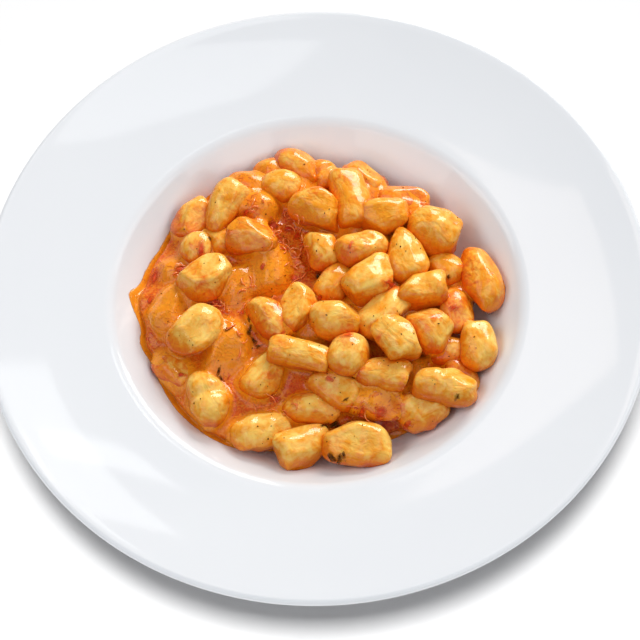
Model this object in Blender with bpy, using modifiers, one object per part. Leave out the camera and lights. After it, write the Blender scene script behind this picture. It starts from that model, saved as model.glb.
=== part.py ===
"""Potato gnocchi in tomato cream sauce, heaped in a wide-rimmed pasta plate.

Three solids make up the dish: the turned porcelain plate, the pool of thick
sauce in its well, and the heap of gnocchi that stands out of the sauce.
Lengths are in metres, +Z is up, and the plate stands on z = 0 with its middle
at the origin. -Y is the side the diner sits at.
"""
import math
from collections import namedtuple

import bmesh
import bpy
from mathutils import Matrix, Vector

MM = 0.001
TURN_STEPS = 64
FIT_GAP = 0.3 * MM

# The plate, from its middle outwards.
RIM_RADIUS = 150.0 * MM
WALL_THICKNESS = 4.8 * MM
FLOOR_HEIGHT = 9.0 * MM
FLOOR_RADIUS = 52.0 * MM
WELL_BEND = 36.0 * MM
WALL_SLOPE = 46.5
WALL_TOP_RADIUS = 90.5 * MM
SHOULDER_BEND = 9.0 * MM
RIM_INNER_SLOPE = 5.0
RIM_OUTER_SLOPE = 13.0
LIP_BEND = 1.95 * MM
LIP_TAPER_START = 128.0 * MM
FOOT_OUTER_RADIUS = 51.0 * MM
FOOT_INNER_RADIUS = 45.5 * MM
FOOT_CHAMFER = 0.8 * MM
FOOT_RECESS = 3.4 * MM

# The sauce stands high against the left of the wall, slopes down towards the
# right, and lies low under the gnocchi on that side.
SAUCE_HIGH_LEVEL = 22.6 * MM
SAUCE_LOW_LEVEL = 14.5 * MM
SLOPE_START = -42.0 * MM
SLOPE_END = 18.0 * MM
SHORE_THICKNESS = 0.8 * MM
SHORE_WIDTH = 1.2 * MM
CUTTER_REACH = 100.0 * MM
CUTTER_DEPTH = -10.0 * MM

# The gnocchi, and the mound of gnocchi under them that carries them.
SQUARENESS = 2.5
THICKNESS_TO_WIDTH = 0.86
SAUCE_SKIN = 0.7 * MM
MOUND_HEIGHT = 31.0 * MM
MOUND_RADIUS = 68.0 * MM
MOUND_MIDDLE = 13.0 * MM
VOXEL = 2.0 * MM
HEAP_DETAIL = 0.115

Gnocco = namedtuple("Gnocco", "east north height heading length width")

# Each gnocco in millimetres and degrees: where its middle is, its height over
# the table, the heading of its long axis from east, its length and its width.
# The skin of sauce that clings to it comes on top of that.
FAR_SIDE = [
    Gnocco(-7, 73, 27, 105, 22, 17),
    Gnocco(-18, 73, 25, 10, 17, 15),
    Gnocco(6, 71, 24, 0, 15, 14),
    Gnocco(-15, 61, 30, 177, 19, 16),
    Gnocco(-31, 64, 27, 150, 19, 14),
    Gnocco(-41, 49, 33, 62, 23, 15),
    Gnocco(-56, 47, 27, 53, 22, 16),
    Gnocco(-27, 50, 30, 166, 19, 15),
    Gnocco(23, 67, 26, 114, 21, 15),
    Gnocco(17, 51, 33, 101, 28, 16),
    Gnocco(41, 55, 26, 177, 26, 14),
    Gnocco(32, 41, 34, 9, 23, 17),
    Gnocco(2, 45, 35, 166, 25, 19),
]
LEFT_SIDE = [
    Gnocco(-54, 31, 29, 62, 17, 14),
    Gnocco(-45, 33, 26, 0, 15, 13),
    Gnocco(-50, 13, 33, 37, 24, 19),
    Gnocco(-64, 20, 24, 0, 15, 13),
    Gnocco(-66, -1, 25, 62, 24, 17),
    Gnocco(-55, -15, 33, 47, 27, 20),
    Gnocco(-41, -20, 26, 71, 26, 16),
    Gnocco(-67, -28, 21, 141, 18, 12),
    Gnocco(-51, -45, 27, 97, 24, 19),
    Gnocco(-35, 12, 27, 85, 23, 14),
]
MIDDLE = [
    Gnocco(-29, 32, 34, 172, 23, 17),
    Gnocco(-22, 18, 28, 89, 27, 18),
    Gnocco(3, 25, 33, 110, 19, 15),
    Gnocco(21, 23, 36, 9, 23, 17),
    Gnocco(8, 8, 31, 56, 20, 15),
    Gnocco(-9, -5, 33, 73, 24, 17),
    Gnocco(-22, -9, 32, 130, 23, 16),
    Gnocco(25, 7, 36, 41, 25, 19),
    Gnocco(8, -12, 35, 3, 24, 19),
    Gnocco(-9, -28, 34, 161, 27, 15),
    Gnocco(13, -30, 35, 60, 20, 18),
    Gnocco(30, -9, 33, 46, 27, 18),
]
RIGHT_SIDE = [
    Gnocco(41, 21, 35, 96, 24, 16),
    Gnocco(55, 34, 32, 149, 25, 20),
    Gnocco(59, 15, 28, 133, 18, 16),
    Gnocco(75, 9, 29, 99, 30, 18),
    Gnocco(47, 3, 35, 9, 22, 16),
    Gnocco(62, -7, 29, 104, 21, 15),
    Gnocco(50, -19, 35, 124, 23, 19),
    Gnocco(71, -24, 29, 95, 24, 16),
    Gnocco(58, -25, 25, 0, 18, 14),
    Gnocco(35, -24, 36, 134, 23, 17),
]
NEAR_SIDE = [
    Gnocco(-24, -35, 25, 36, 24, 16),
    Gnocco(-27, -61, 23, 14, 26, 17),
    Gnocco(-8, -68, 23, 35, 24, 16),
    Gnocco(-4, -51, 24, 174, 25, 14),
    Gnocco(7, -44, 28, 150, 24, 16),
    Gnocco(29, -40, 31, 178, 24, 16),
    Gnocco(55, -46, 32, 169, 27, 19),
    Gnocco(24, -51, 26, 167, 23, 15),
    Gnocco(45, -53, 24, 19, 24, 18),
    Gnocco(15, -70, 26, 172, 30, 20),
]
GNOCCHI = FAR_SIDE + LEFT_SIDE + MIDDLE + RIGHT_SIDE + NEAR_SIDE


def clear_scene():
    """Remove whatever the file holds, so that the script can be run again."""
    for old in list(bpy.data.objects):
        bpy.data.objects.remove(old, do_unlink=True)


def make_collection(name):
    """Make a collection under the scene and return it."""
    group = bpy.data.collections.new(name)
    bpy.context.scene.collection.children.link(group)
    return group


def make_material(name, colour, roughness):
    """Make a plain Principled material."""
    material = bpy.data.materials.new(name)
    material.use_nodes = True
    shader = material.node_tree.nodes["Principled BSDF"]
    shader.inputs["Base Color"].default_value = (*colour, 1.0)
    shader.inputs["Roughness"].default_value = roughness
    shader.inputs["Metallic"].default_value = 0.0
    return material


def arc(centre, radius, start, end, steps):
    """Points on an arc, as (radius, height) pairs; angles in degrees."""
    points = []
    for step in range(steps + 1):
        angle = math.radians(start + (end - start) * step / steps)
        points.append((centre[0] + radius * math.cos(angle),
                       centre[1] + radius * math.sin(angle)))
    return points


def well_curve(offset):
    """The inside of the well from the floor's edge to the rim's inner edge.

    The curve bends up from the floor, climbs the straight wall and rolls
    over the shoulder. offset moves it into the porcelain.
    """
    slope = math.radians(WALL_SLOPE)
    bend_centre = (FLOOR_RADIUS, FLOOR_HEIGHT + WELL_BEND)
    lower = arc(bend_centre, WELL_BEND + offset, -90, -90 + WALL_SLOPE, 4)
    foot_of_wall = FLOOR_RADIUS + WELL_BEND * math.sin(slope)
    wall_rise = (WALL_TOP_RADIUS - foot_of_wall) * math.tan(slope)
    wall_top = FLOOR_HEIGHT + WELL_BEND * (1 - math.cos(slope)) + wall_rise
    shoulder_centre = (WALL_TOP_RADIUS + SHOULDER_BEND * math.sin(slope),
                       wall_top - SHOULDER_BEND * math.cos(slope))
    shoulder = arc(shoulder_centre, SHOULDER_BEND - offset, 90 + WALL_SLOPE, 90 + RIM_INNER_SLOPE, 3)
    return lower + shoulder


def rim_curve(offset):
    """The rim's top face, a shallow upward bow, moved down by offset."""
    inner_edge = well_curve(0.0)[-1]
    inner, outer = math.radians(RIM_INNER_SLOPE), math.radians(RIM_OUTER_SLOPE)
    outer_edge = RIM_RADIUS - LIP_BEND * (1 + math.sin(outer))
    bow = (outer_edge - inner_edge[0]) / (math.sin(outer) - math.sin(inner))
    centre = (inner_edge[0] - bow * math.sin(inner), inner_edge[1] + bow * math.cos(inner))
    return arc(centre, bow + offset, -90 + RIM_INNER_SLOPE, -90 + RIM_OUTER_SLOPE, 4)


def lip_curve():
    """The rounded lip, from the rim's top face round to its underside."""
    start, slope = rim_curve(0.0)[-1], math.radians(RIM_OUTER_SLOPE)
    centre = (start[0] + LIP_BEND * math.sin(slope), start[1] - LIP_BEND * math.cos(slope))
    upper = arc(centre, LIP_BEND, 90 + RIM_OUTER_SLOPE, 0, 4)
    lower = arc(centre, LIP_BEND, 0, -90 + RIM_OUTER_SLOPE, 3)
    return upper[1:] + lower[1:]


def radius_on(curve, height):
    """Radius at which a rising curve reaches a height."""
    for (inner, low), (outer, high) in zip(curve, curve[1:]):
        if low <= height <= high:
            return inner + (outer - inner) * (height - low) / (high - low)
    raise ValueError("the height is off the curve")


def make_turned(name, profile, group, material=None):
    """Turn a profile about Z into a closed solid.

    The profile runs from the top of the axis outwards and down, and back to
    the axis at the bottom.
    """
    mesh = bpy.data.meshes.new(name)
    points = [(radius, 0.0, height) for radius, height in profile]
    mesh.from_pydata(points, [(i, i + 1) for i in range(len(points) - 1)], [])
    turned = bpy.data.objects.new(name, mesh)
    group.objects.link(turned)
    screw = turned.modifiers.new("Turn", "SCREW")
    screw.steps = TURN_STEPS
    screw.render_steps = TURN_STEPS
    screw.use_merge_vertices = True
    screw.merge_threshold = 0.0001
    screw.use_smooth_shade = True
    if material:
        mesh.materials.append(material)
    return turned


def cut(solid, cutter):
    """Cut one solid by another, and keep the cutter out of the model."""
    cutter.hide_render = True
    cutter.display_type = "WIRE"
    boolean = solid.modifiers.new(f"Cut by {cutter.name}", "BOOLEAN")
    boolean.operation = "DIFFERENCE"
    boolean.solver = "EXACT"
    boolean.object = cutter


def plate_profile():
    """The whole section of the plate, over the top and back underneath."""
    top = [(0.0, FLOOR_HEIGHT)] + well_curve(0.0) + rim_curve(0.0)[1:] + lip_curve()
    below_rim = [point for point in rim_curve(WALL_THICKNESS)[1:] if point[0] < LIP_TAPER_START]
    underside = below_rim[::-1] + well_curve(WALL_THICKNESS)[::-1]
    foot = [(FOOT_OUTER_RADIUS, underside[-1][1]), (FOOT_OUTER_RADIUS - FOOT_CHAMFER, 0.0),
            (FOOT_INNER_RADIUS + FOOT_CHAMFER, 0.0), (FOOT_INNER_RADIUS, FOOT_RECESS), (0.0, FOOT_RECESS)]
    return top + underside + foot


def make_plate(group):
    """The porcelain plate with its deep well, wide rim and foot ring."""
    glaze = make_material("porcelain", (0.84, 0.84, 0.85), 0.12)
    return make_turned("plate", plate_profile(), group, glaze)


def make_wedge(name, left, right, group):
    """A block over the sauce whose underside runs from a left to a right edge.

    Each edge is an (east, height) pair.
    """
    mesh = bpy.data.meshes.new(name)
    work = bmesh.new()
    bmesh.ops.create_cube(work, size=2.0)
    for vert in work.verts:
        east, height = left if vert.co.x < 0 else right
        vert.co = (east, vert.co.y * CUTTER_REACH, height if vert.co.z < 0 else CUTTER_REACH)
    work.to_mesh(mesh)
    work.free()
    wedge = bpy.data.objects.new(name, mesh)
    group.objects.link(wedge)
    return wedge


def cut_to_sauce_surface(solid, name, lift, group):
    """Cut a solid down to the sauce's surface, raised by lift."""
    start, end = (SLOPE_START, SAUCE_HIGH_LEVEL + lift), (SLOPE_END, SAUCE_LOW_LEVEL + lift)
    cut(solid, make_wedge(f"{name}_slope", start, end, group))
    overlap = (SLOPE_END - 1.0 * MM, end[1])
    cut(solid, make_wedge(f"{name}_low_side", overlap, (CUTTER_REACH, end[1]), group))


def make_sauce(group, cutters):
    """The pool of sauce, from the well's floor up to its sloping surface."""
    colour = make_material("tomato_cream", (0.60, 0.12, 0.014), 0.25)
    bed = well_curve(-FIT_GAP)
    shore_height = SAUCE_HIGH_LEVEL - SHORE_THICKNESS
    shore = (radius_on(bed, shore_height), shore_height)
    below = [point for point in bed if point[1] < shore_height - 0.5 * MM]
    edge_top = (shore[0] - SHORE_WIDTH, SAUCE_HIGH_LEVEL)
    profile = [(0.0, SAUCE_HIGH_LEVEL), edge_top, shore] + below[::-1] + [(0.0, below[0][1])]
    sauce = make_turned("sauce", profile, group, colour)
    cut_to_sauce_surface(sauce, "over_sauce", 0.0, cutters)
    return sauce


def make_plate_cutter(group):
    """Everything under the inside of the plate, with the gap to it."""
    bed = well_curve(-FIT_GAP)
    outside = bed[-1][0] + 10 * MM
    profile = [(0.0, bed[0][1])] + bed + [(outside, bed[-1][1]), (outside, CUTTER_DEPTH), (0.0, CUTTER_DEPTH)]
    return make_turned("plate_cutter", profile, group)


def make_sauce_cutter(group):
    """Everything under the sauce's surface, with the gap to it."""
    top = SAUCE_HIGH_LEVEL + FIT_GAP
    profile = [(0.0, top), (CUTTER_REACH, top), (CUTTER_REACH, CUTTER_DEPTH), (0.0, CUTTER_DEPTH)]
    cutter = make_turned("sauce_cutter", profile, group)
    cut_to_sauce_surface(cutter, "over_cutter", FIT_GAP, group)
    return cutter


def add_rounded_block(work, matrix):
    """Add one rounded block of unit half-size to a bmesh, placed by a matrix."""
    made = bmesh.ops.create_uvsphere(work, u_segments=20, v_segments=12, radius=1.0)
    for vert in made["verts"]:
        spread = sum(abs(value) ** SQUARENESS for value in vert.co) ** (1 / SQUARENESS)
        vert.co = matrix @ (vert.co / spread)


def gnocco_matrix(gnocco):
    """Placement and half-sizes of one gnocco, in its skin of sauce."""
    place = Matrix.Translation(Vector((gnocco.east, gnocco.north, gnocco.height)) * MM)
    turn = Matrix.Rotation(math.radians(gnocco.heading), 4, "Z")
    halves = (gnocco.length, gnocco.width, gnocco.width * THICKNESS_TO_WIDTH)
    return place @ turn @ Matrix.Diagonal([*(value * MM / 2 + SAUCE_SKIN for value in halves), 1.0])


def make_heap(group, cutters):
    """The gnocchi over the mound that carries them, as one solid on the sauce."""
    mesh = bpy.data.meshes.new("gnocchi_heap")
    work = bmesh.new()
    for gnocco in GNOCCHI:
        add_rounded_block(work, gnocco_matrix(gnocco))
    mound_size = Matrix.Diagonal((MOUND_RADIUS, MOUND_RADIUS, MOUND_HEIGHT - MOUND_MIDDLE, 1.0))
    add_rounded_block(work, Matrix.Translation((0, 0, MOUND_MIDDLE)) @ mound_size)
    work.to_mesh(mesh)
    work.free()
    mesh.materials.append(make_material("gnocchi", (0.78, 0.40, 0.06), 0.3))
    heap = bpy.data.objects.new("gnocchi_heap", mesh)
    group.objects.link(heap)
    melt = heap.modifiers.new("Melt together", "REMESH")
    melt.mode = "VOXEL"
    melt.voxel_size = VOXEL
    thin = heap.modifiers.new("Thin out", "DECIMATE")
    thin.ratio = HEAP_DETAIL
    cut(heap, make_plate_cutter(cutters))
    cut(heap, make_sauce_cutter(cutters))
    return heap


def main():
    """Build the dish."""
    clear_scene()
    dish = make_collection("potato_gnocchi")
    cutters = make_collection("cutters")
    make_plate(dish)
    make_sauce(dish, cutters)
    make_heap(dish, cutters)


if __name__ == "__main__":
    main()
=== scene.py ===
"""Potato gnocchi in tomato cream sauce, served in a wide-rimmed pasta plate.

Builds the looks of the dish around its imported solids: the glazed plate, the
gnocchi one by one, the sauce that pools between them and clings to them, the
scraps and strands of tomato, the herbs and the pepper. Lengths are written in millimetres
and become metres where a mesh is made. +Z is up, the plate stands on z = 0
with its middle at the origin, and -Y is the side the diner sits at.
"""
from __future__ import annotations

import logging
import math
from dataclasses import dataclass
from enum import Enum, Flag, auto
from typing import Sequence, Union

import bmesh
import bpy
import numpy as np
from mathutils import Matrix, Vector, noise
from mathutils.bvhtree import BVHTree

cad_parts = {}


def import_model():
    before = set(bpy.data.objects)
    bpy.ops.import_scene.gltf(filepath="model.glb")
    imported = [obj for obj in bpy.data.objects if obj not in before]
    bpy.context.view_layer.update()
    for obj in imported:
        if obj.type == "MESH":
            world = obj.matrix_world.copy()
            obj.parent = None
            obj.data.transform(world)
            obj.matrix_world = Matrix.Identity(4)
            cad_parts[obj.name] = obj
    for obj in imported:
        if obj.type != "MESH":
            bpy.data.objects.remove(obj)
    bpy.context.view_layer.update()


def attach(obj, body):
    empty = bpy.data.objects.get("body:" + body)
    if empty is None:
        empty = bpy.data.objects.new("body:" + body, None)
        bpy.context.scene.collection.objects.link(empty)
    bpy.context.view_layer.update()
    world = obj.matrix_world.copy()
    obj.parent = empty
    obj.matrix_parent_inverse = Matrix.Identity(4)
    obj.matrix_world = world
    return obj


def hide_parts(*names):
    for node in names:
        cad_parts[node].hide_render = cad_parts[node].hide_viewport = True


MM = 0.001
ROOT_BODY = "root"
LOG = logging.getLogger("gnocchi")

Colour = tuple[float, float, float]
Pair = tuple[float, float]
Grid = np.ndarray
Operand = Union["Wire", float, int]


# --------------------------------------------------------------------------
# Small helpers
# --------------------------------------------------------------------------

def linear(red: int, green: int, blue: int) -> Colour:
    """Turn a display colour, 0 to 255 a channel, into a linear one."""
    def channel(value: int) -> float:
        share = value / 255
        return share / 12.92 if share <= 0.04045 else ((share + 0.055) / 1.055) ** 2.4
    return channel(red), channel(green), channel(blue)


def smooth_step(low: float, high: float, value: Grid) -> Grid:
    """Ease from 0 at low to 1 at high.

    Args:
        low: Where the result starts to rise from 0.
        high: Where it reaches 1.
        value: The numbers to ease.

    Returns:
        The eased numbers.
    """
    share = np.clip((value - low) / (high - low), 0.0, 1.0)
    return share * share * (3 - 2 * share)


def soft_max(first: Grid, second: Grid, width: float) -> Grid:
    """The larger of two height fields, with a fillet of a width between them."""
    blend = np.clip(0.5 + 0.5 * (first - second) / width, 0.0, 1.0)
    return second + (first - second) * blend + width * blend * (1 - blend)


def soft_min(first: Grid, second: Grid, width: float) -> Grid:
    """The smaller of two height fields, with a fillet of a width between them."""
    return -soft_max(-first, -second, width)


def lumps(points: Grid, size: float, seed: float) -> Grid:
    """Smooth noise from -1 to 1 at each point.

    Args:
        points: Points in millimetres, one a row.
        size: About how wide a lump is, in millimetres.
        seed: Which pattern to take.

    Returns:
        One number a point.
    """
    shift = Vector((seed * 7.31, seed * 3.17, seed * 5.73))
    return np.array([noise.noise(Vector(point) / size + shift) for point in points])


@dataclass(frozen=True)
class Waves:
    """Smooth random unevenness made of a few crossing waves."""

    CALM = 1.3

    directions: Grid
    phases: Grid

    @classmethod
    def drawn(cls, seed: int, size: float, count: int = 9) -> "Waves":
        """Draw the waves.

        Args:
            seed: Which chances to take.
            size: About how long a wave is, in millimetres.
            count: How many waves cross.

        Returns:
            The waves.
        """
        chance = np.random.default_rng(seed)
        directions = chance.normal(size=(count, 3))
        directions /= np.linalg.norm(directions, axis=1, keepdims=True)
        directions *= (2 * math.pi / (size * chance.uniform(0.7, 1.5, count)))[:, None]
        return cls(directions, chance.uniform(0, 2 * math.pi, count))

    def at(self, points: Grid) -> Grid:
        """Their height at each point, mostly between -1 and 1."""
        height = np.sin(points @ self.directions.T + self.phases).sum(axis=-1)
        return height / math.sqrt(len(self.phases) * self.CALM)


class Lattice:
    """A cubic lattice of numbers over the food, less than 0 inside the sauce."""

    EMPTY = 9.0

    def __init__(self, low: Sequence[float], high: Sequence[float], cell: float) -> None:
        """Fill a lattice from its low to its high corner with empty space."""
        self.low, self.cell = np.array(low, dtype=float), cell
        steps = np.ceil((np.array(high) - self.low) / cell).astype(int)
        self.field = np.full(steps + 1, self.EMPTY)

    def window(self, middle: Grid, reach: float) -> tuple[slice, ...]:
        """The part of the lattice within a reach of a point."""
        first = np.floor((middle - reach - self.low) / self.cell).astype(int).clip(0)
        last = np.ceil((middle + reach - self.low) / self.cell).astype(int) + 1
        return tuple(slice(start, stop) for start, stop in zip(first, last))

    def points(self, window: tuple[slice, ...]) -> Grid:
        """Places of the lattice's points in a window, one a row."""
        shape = self.field[window].shape
        steps = np.indices(shape).reshape(3, -1).T + [part.start or 0 for part in window]
        return self.low + steps * self.cell

    def tops(self) -> Grid:
        """Height of the highest skin in each column."""
        inside = self.field < 0
        count = self.field.shape[2]
        highest = count - 1 - np.argmax(inside[:, :, ::-1], axis=2)
        rows, columns = np.indices(highest.shape)
        upper = np.minimum(highest + 1, count - 1)
        low, high = self.field[rows, columns, highest], self.field[rows, columns, upper]
        share = np.where(high > low, -low / np.where(high > low, high - low, 1.0), 0.0)
        return np.where(inside.any(axis=2), self.low[2] + (highest + share) * self.cell, self.low[2])

    def skin(self) -> tuple[Grid, Grid]:
        """The surface where the field is 0.

        Returns:
            Its points, and four point numbers for each face, turned outwards.
        """
        cells = tuple(np.array(self.field.shape) - 1)
        owners, crossings, quads = [], [], []
        for axis in range(3):
            behind = tuple(slice(0, -1) if side == axis else slice(None) for side in range(3))
            ahead = tuple(slice(1, None) if side == axis else slice(None) for side in range(3))
            low, high = self.field[behind], self.field[ahead]
            place = np.argwhere((low < 0) != (high < 0))
            start, end = low[tuple(place.T)], high[tuple(place.T)]
            crossing = place.astype(float)
            crossing[:, axis] += start / (start - end)
            corners = []
            for across, up in ((-1, -1), (0, -1), (0, 0), (-1, 0)):
                cell = place.copy()
                cell[:, (axis + 1) % 3] += across
                cell[:, (axis + 2) % 3] += up
                corners.append(np.ravel_multi_index(tuple(cell.T), cells))
            around = np.stack(corners, axis=1)
            quads.append(np.where((start < 0)[:, None], around, around[:, ::-1]))
            owners.append(around.ravel())
            crossings.append(np.repeat(crossing, 4, axis=0))
        used, number = np.unique(np.concatenate(owners), return_inverse=True)
        places, count = np.concatenate(crossings), np.bincount(number)
        points = np.stack([np.bincount(number, places[:, side]) / count for side in range(3)], axis=1)
        return self.low + points * self.cell, np.searchsorted(used, np.concatenate(quads))


def relaxed(points: Grid, faces: Grid, rounds: int) -> Grid:
    """Ease each point towards the middle of its neighbours a number of times."""
    ahead = np.concatenate([faces[:, side] for side in range(4)])
    behind = np.concatenate([faces[:, (side + 1) % 4] for side in range(4)])
    here, there = np.concatenate([ahead, behind]), np.concatenate([behind, ahead])
    count = np.bincount(here, minlength=len(points))
    for _ in range(rounds):
        means = [np.bincount(here, points[there, side], len(points)) / count for side in range(3)]
        points = points + 0.5 * (np.stack(means, axis=1) - points)
    return points


def arc(centre: Pair, radius: float, start: float, end: float, steps: int) -> list[Pair]:
    """Points on an arc.

    Args:
        centre: Radius and height of its middle.
        radius: Its radius.
        start: Where it starts, in degrees.
        end: Where it ends, in degrees.
        steps: How many pieces it is cut into.

    Returns:
        The points as (radius, height) pairs.
    """
    turns = np.radians(np.linspace(start, end, steps + 1))
    return [(centre[0] + radius * math.cos(turn), centre[1] + radius * math.sin(turn)) for turn in turns]


def make_piece(name: str, points: Grid, faces: Sequence[Sequence[int]]) -> bpy.types.Object:
    """Make a smooth mesh object from points in millimetres.

    Args:
        name: The object's name.
        points: Its points, one a row.
        faces: Point numbers of each face.

    Returns:
        The object, linked to the scene.
    """
    mesh = bpy.data.meshes.new(name)
    mesh.from_pydata((np.asarray(points) * MM).tolist(), [], [tuple(face) for face in faces])
    mesh.validate()
    mesh.shade_smooth()
    piece = bpy.data.objects.new(name, mesh)
    bpy.context.scene.collection.objects.link(piece)
    return piece


def paint(piece: bpy.types.Object, name: str, values: Grid) -> None:
    """Store a number or a vector a point on a piece, for its material to read."""
    vectors = np.ndim(values) == 2
    layer = piece.data.attributes.new(name, "FLOAT_VECTOR" if vectors else "FLOAT", "POINT")
    layer.data.foreach_set("vector" if vectors else "value", np.asarray(values, dtype=np.float32).ravel())


def dress(piece: bpy.types.Object, material: bpy.types.Material, slot: str, *replaced: str) -> None:
    """Give a piece its finish and its place in the frame.

    Args:
        piece: The finished piece.
        material: Its finish.
        slot: A material slot's name; not used.
        replaced: The CAD nodes that it stands for.
    """
    if not piece.data.materials:
        piece.data.materials.append(material)
    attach(piece, ROOT_BODY)
    if replaced:
        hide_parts(*replaced)
    LOG.info("%s: %d faces", piece.name, len(piece.data.polygons))


# --------------------------------------------------------------------------
# Shader maths as expressions
# --------------------------------------------------------------------------

@dataclass
class Wire:
    """A number that comes out of a shader node, to be used in expressions."""

    tree: bpy.types.NodeTree
    socket: bpy.types.NodeSocket

    def _maths(self, operation: str, first: Operand, second: Operand) -> "Wire":
        """Add one Math node and return its result."""
        made = self.tree.nodes.new("ShaderNodeMath")
        made.operation = operation
        for entry, value in zip(made.inputs, (first, second)):
            if isinstance(value, Wire):
                self.tree.links.new(value.socket, entry)
            else:
                entry.default_value = float(value)
        return Wire(self.tree, made.outputs[0])

    def __add__(self, other: Operand) -> "Wire":
        """Sum."""
        return self._maths("ADD", self, other)

    def __radd__(self, other: Operand) -> "Wire":
        """Sum, reflected."""
        return self._maths("ADD", other, self)

    def __sub__(self, other: Operand) -> "Wire":
        """Difference."""
        return self._maths("SUBTRACT", self, other)

    def __rsub__(self, other: Operand) -> "Wire":
        """Difference, reflected."""
        return self._maths("SUBTRACT", other, self)

    def __mul__(self, other: Operand) -> "Wire":
        """Product."""
        return self._maths("MULTIPLY", self, other)

    def __rmul__(self, other: Operand) -> "Wire":
        """Product, reflected."""
        return self._maths("MULTIPLY", other, self)

    def at_most(self, other: Operand) -> "Wire":
        """The smaller of the two."""
        return self._maths("MINIMUM", self, other)

    def at_least(self, other: Operand) -> "Wire":
        """The larger of the two."""
        return self._maths("MAXIMUM", self, other)

    def held(self) -> "Wire":
        """Held between 0 and 1."""
        return self.at_least(0.0).at_most(1.0)


class Finish:
    """A material under construction, with one method that adds any node."""

    # A Mix node's sockets for colour, which share their names with those for numbers.
    MIX_INPUTS = (0, 6, 7)
    MIX_RESULT = 2

    def __init__(self, name: str) -> None:
        """Start a material with its Principled shader."""
        self.material = bpy.data.materials.new(name)
        self.material.use_nodes = True
        self.tree = self.material.node_tree
        self.shader = self.tree.nodes["Principled BSDF"]

    def node(self, kind: str, settings: dict | None = None, sockets: dict | None = None) -> bpy.types.Node:
        """Add a node.

        Args:
            kind: Its type, such as ShaderNodeTexNoise.
            settings: Its properties, set first.
            sockets: Values or links of its inputs, by name or number.

        Returns:
            The node.
        """
        made = self.tree.nodes.new(kind)
        for key, value in (settings or {}).items():
            setattr(made, key, value)
        for key, value in (sockets or {}).items():
            self.feed(made.inputs[key], value)
        return made

    def feed(self, entry: bpy.types.NodeSocket, value: object) -> None:
        """Set an input to a value, or link it to what feeds it."""
        if isinstance(value, Wire):
            self.tree.links.new(value.socket, entry)
        elif isinstance(value, bpy.types.NodeSocket):
            self.tree.links.new(value, entry)
        elif isinstance(value, tuple) and len(value) == 3 and entry.type == "RGBA":
            entry.default_value = (*value, 1.0)
        else:
            entry.default_value = value

    def constants(self, **values: object) -> None:
        """Set the shader's own sockets, named with underscores for spaces."""
        for key, value in values.items():
            self.feed(self.shader.inputs[key.replace("_", " ")], value)

    def place(self) -> bpy.types.NodeSocket:
        """Object coordinates."""
        return self.node("ShaderNodeTexCoord").outputs["Object"]

    def stored(self, name: str) -> Wire:
        """A number painted on the mesh."""
        return Wire(self.tree, self.node("ShaderNodeAttribute", {"attribute_name": name}).outputs["Fac"])

    def grain(self, size: float, detail: float = 2.0, stretch: Colour = (1.0, 1.0, 1.0), warp: float = 0.0,
              place: bpy.types.NodeSocket | None = None) -> Wire:
        """Noise from 0 to 1.

        Args:
            size: How wide a patch is, in millimetres.
            detail: Octaves of finer noise.
            stretch: How much the pattern is squeezed along each axis.
            warp: How much the pattern swirls.
            place: Where the pattern lies, Object coordinates if not given.

        Returns:
            The noise.
        """
        mapping = self.node("ShaderNodeMapping", {}, {"Vector": place or self.place(), "Scale": stretch})
        texture = self.node("ShaderNodeTexNoise", {}, {
            "Vector": mapping.outputs[0], "Scale": 1 / (size * MM), "Detail": detail, "Distortion": warp})
        return Wire(self.tree, texture.outputs["Fac"])

    def steepen(self, value: Wire, low: float, high: float) -> Wire:
        """Stretch the range from low to high to 0 to 1, and hold it there."""
        return ((value - low) * (1 / (high - low))).held()

    def blend(self, share: Operand, first: object, second: object) -> bpy.types.NodeSocket:
        """Mix two colours.

        Args:
            share: How much of the second, 0 to 1.
            first: A colour, or what feeds one.
            second: A colour, or what feeds one.

        Returns:
            The mixed colour's socket.
        """
        mixed = self.node("ShaderNodeMix", {"data_type": "RGBA"})
        for entry, value in zip(self.MIX_INPUTS, (share, first, second)):
            self.feed(mixed.inputs[entry], value)
        return mixed.outputs[self.MIX_RESULT]

    def relief(self, height: Wire, depth: float, strength: float = 1.0) -> None:
        """Give the shader a bump of a depth in millimetres."""
        bump = self.node("ShaderNodeBump", {}, {
            "Height": height, "Distance": depth * MM, "Strength": strength})
        self.feed(self.shader.inputs["Normal"], bump.outputs[0])


# --------------------------------------------------------------------------
# Finishes
# --------------------------------------------------------------------------

@dataclass(frozen=True)
class Porcelain:
    """White glazed porcelain with an unglazed foot."""

    white: Colour = linear(236, 237, 240)
    bisque: Colour = linear(222, 214, 200)
    cloudy: Colour = linear(232, 233, 237)

    def make(self) -> bpy.types.Material:
        """Build the material."""
        finish = Finish("porcelain_glaze")
        bare = finish.stored("bare")
        clouds = finish.steepen(finish.grain(55.0, 2.0), 0.3, 0.7)
        glaze = finish.blend(clouds * 0.35, self.white, self.cloudy)
        finish.constants(Base_Color=finish.blend(bare, glaze, self.bisque), IOR=1.5, Specular_IOR_Level=0.24)
        wear = finish.grain(9.0, 3.0)
        finish.feed(finish.shader.inputs["Roughness"], 0.03 + wear * 0.03 + bare * 0.5)
        finish.relief(finish.grain(38.0, 1.0), 0.05, 0.35)
        return finish.material


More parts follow.
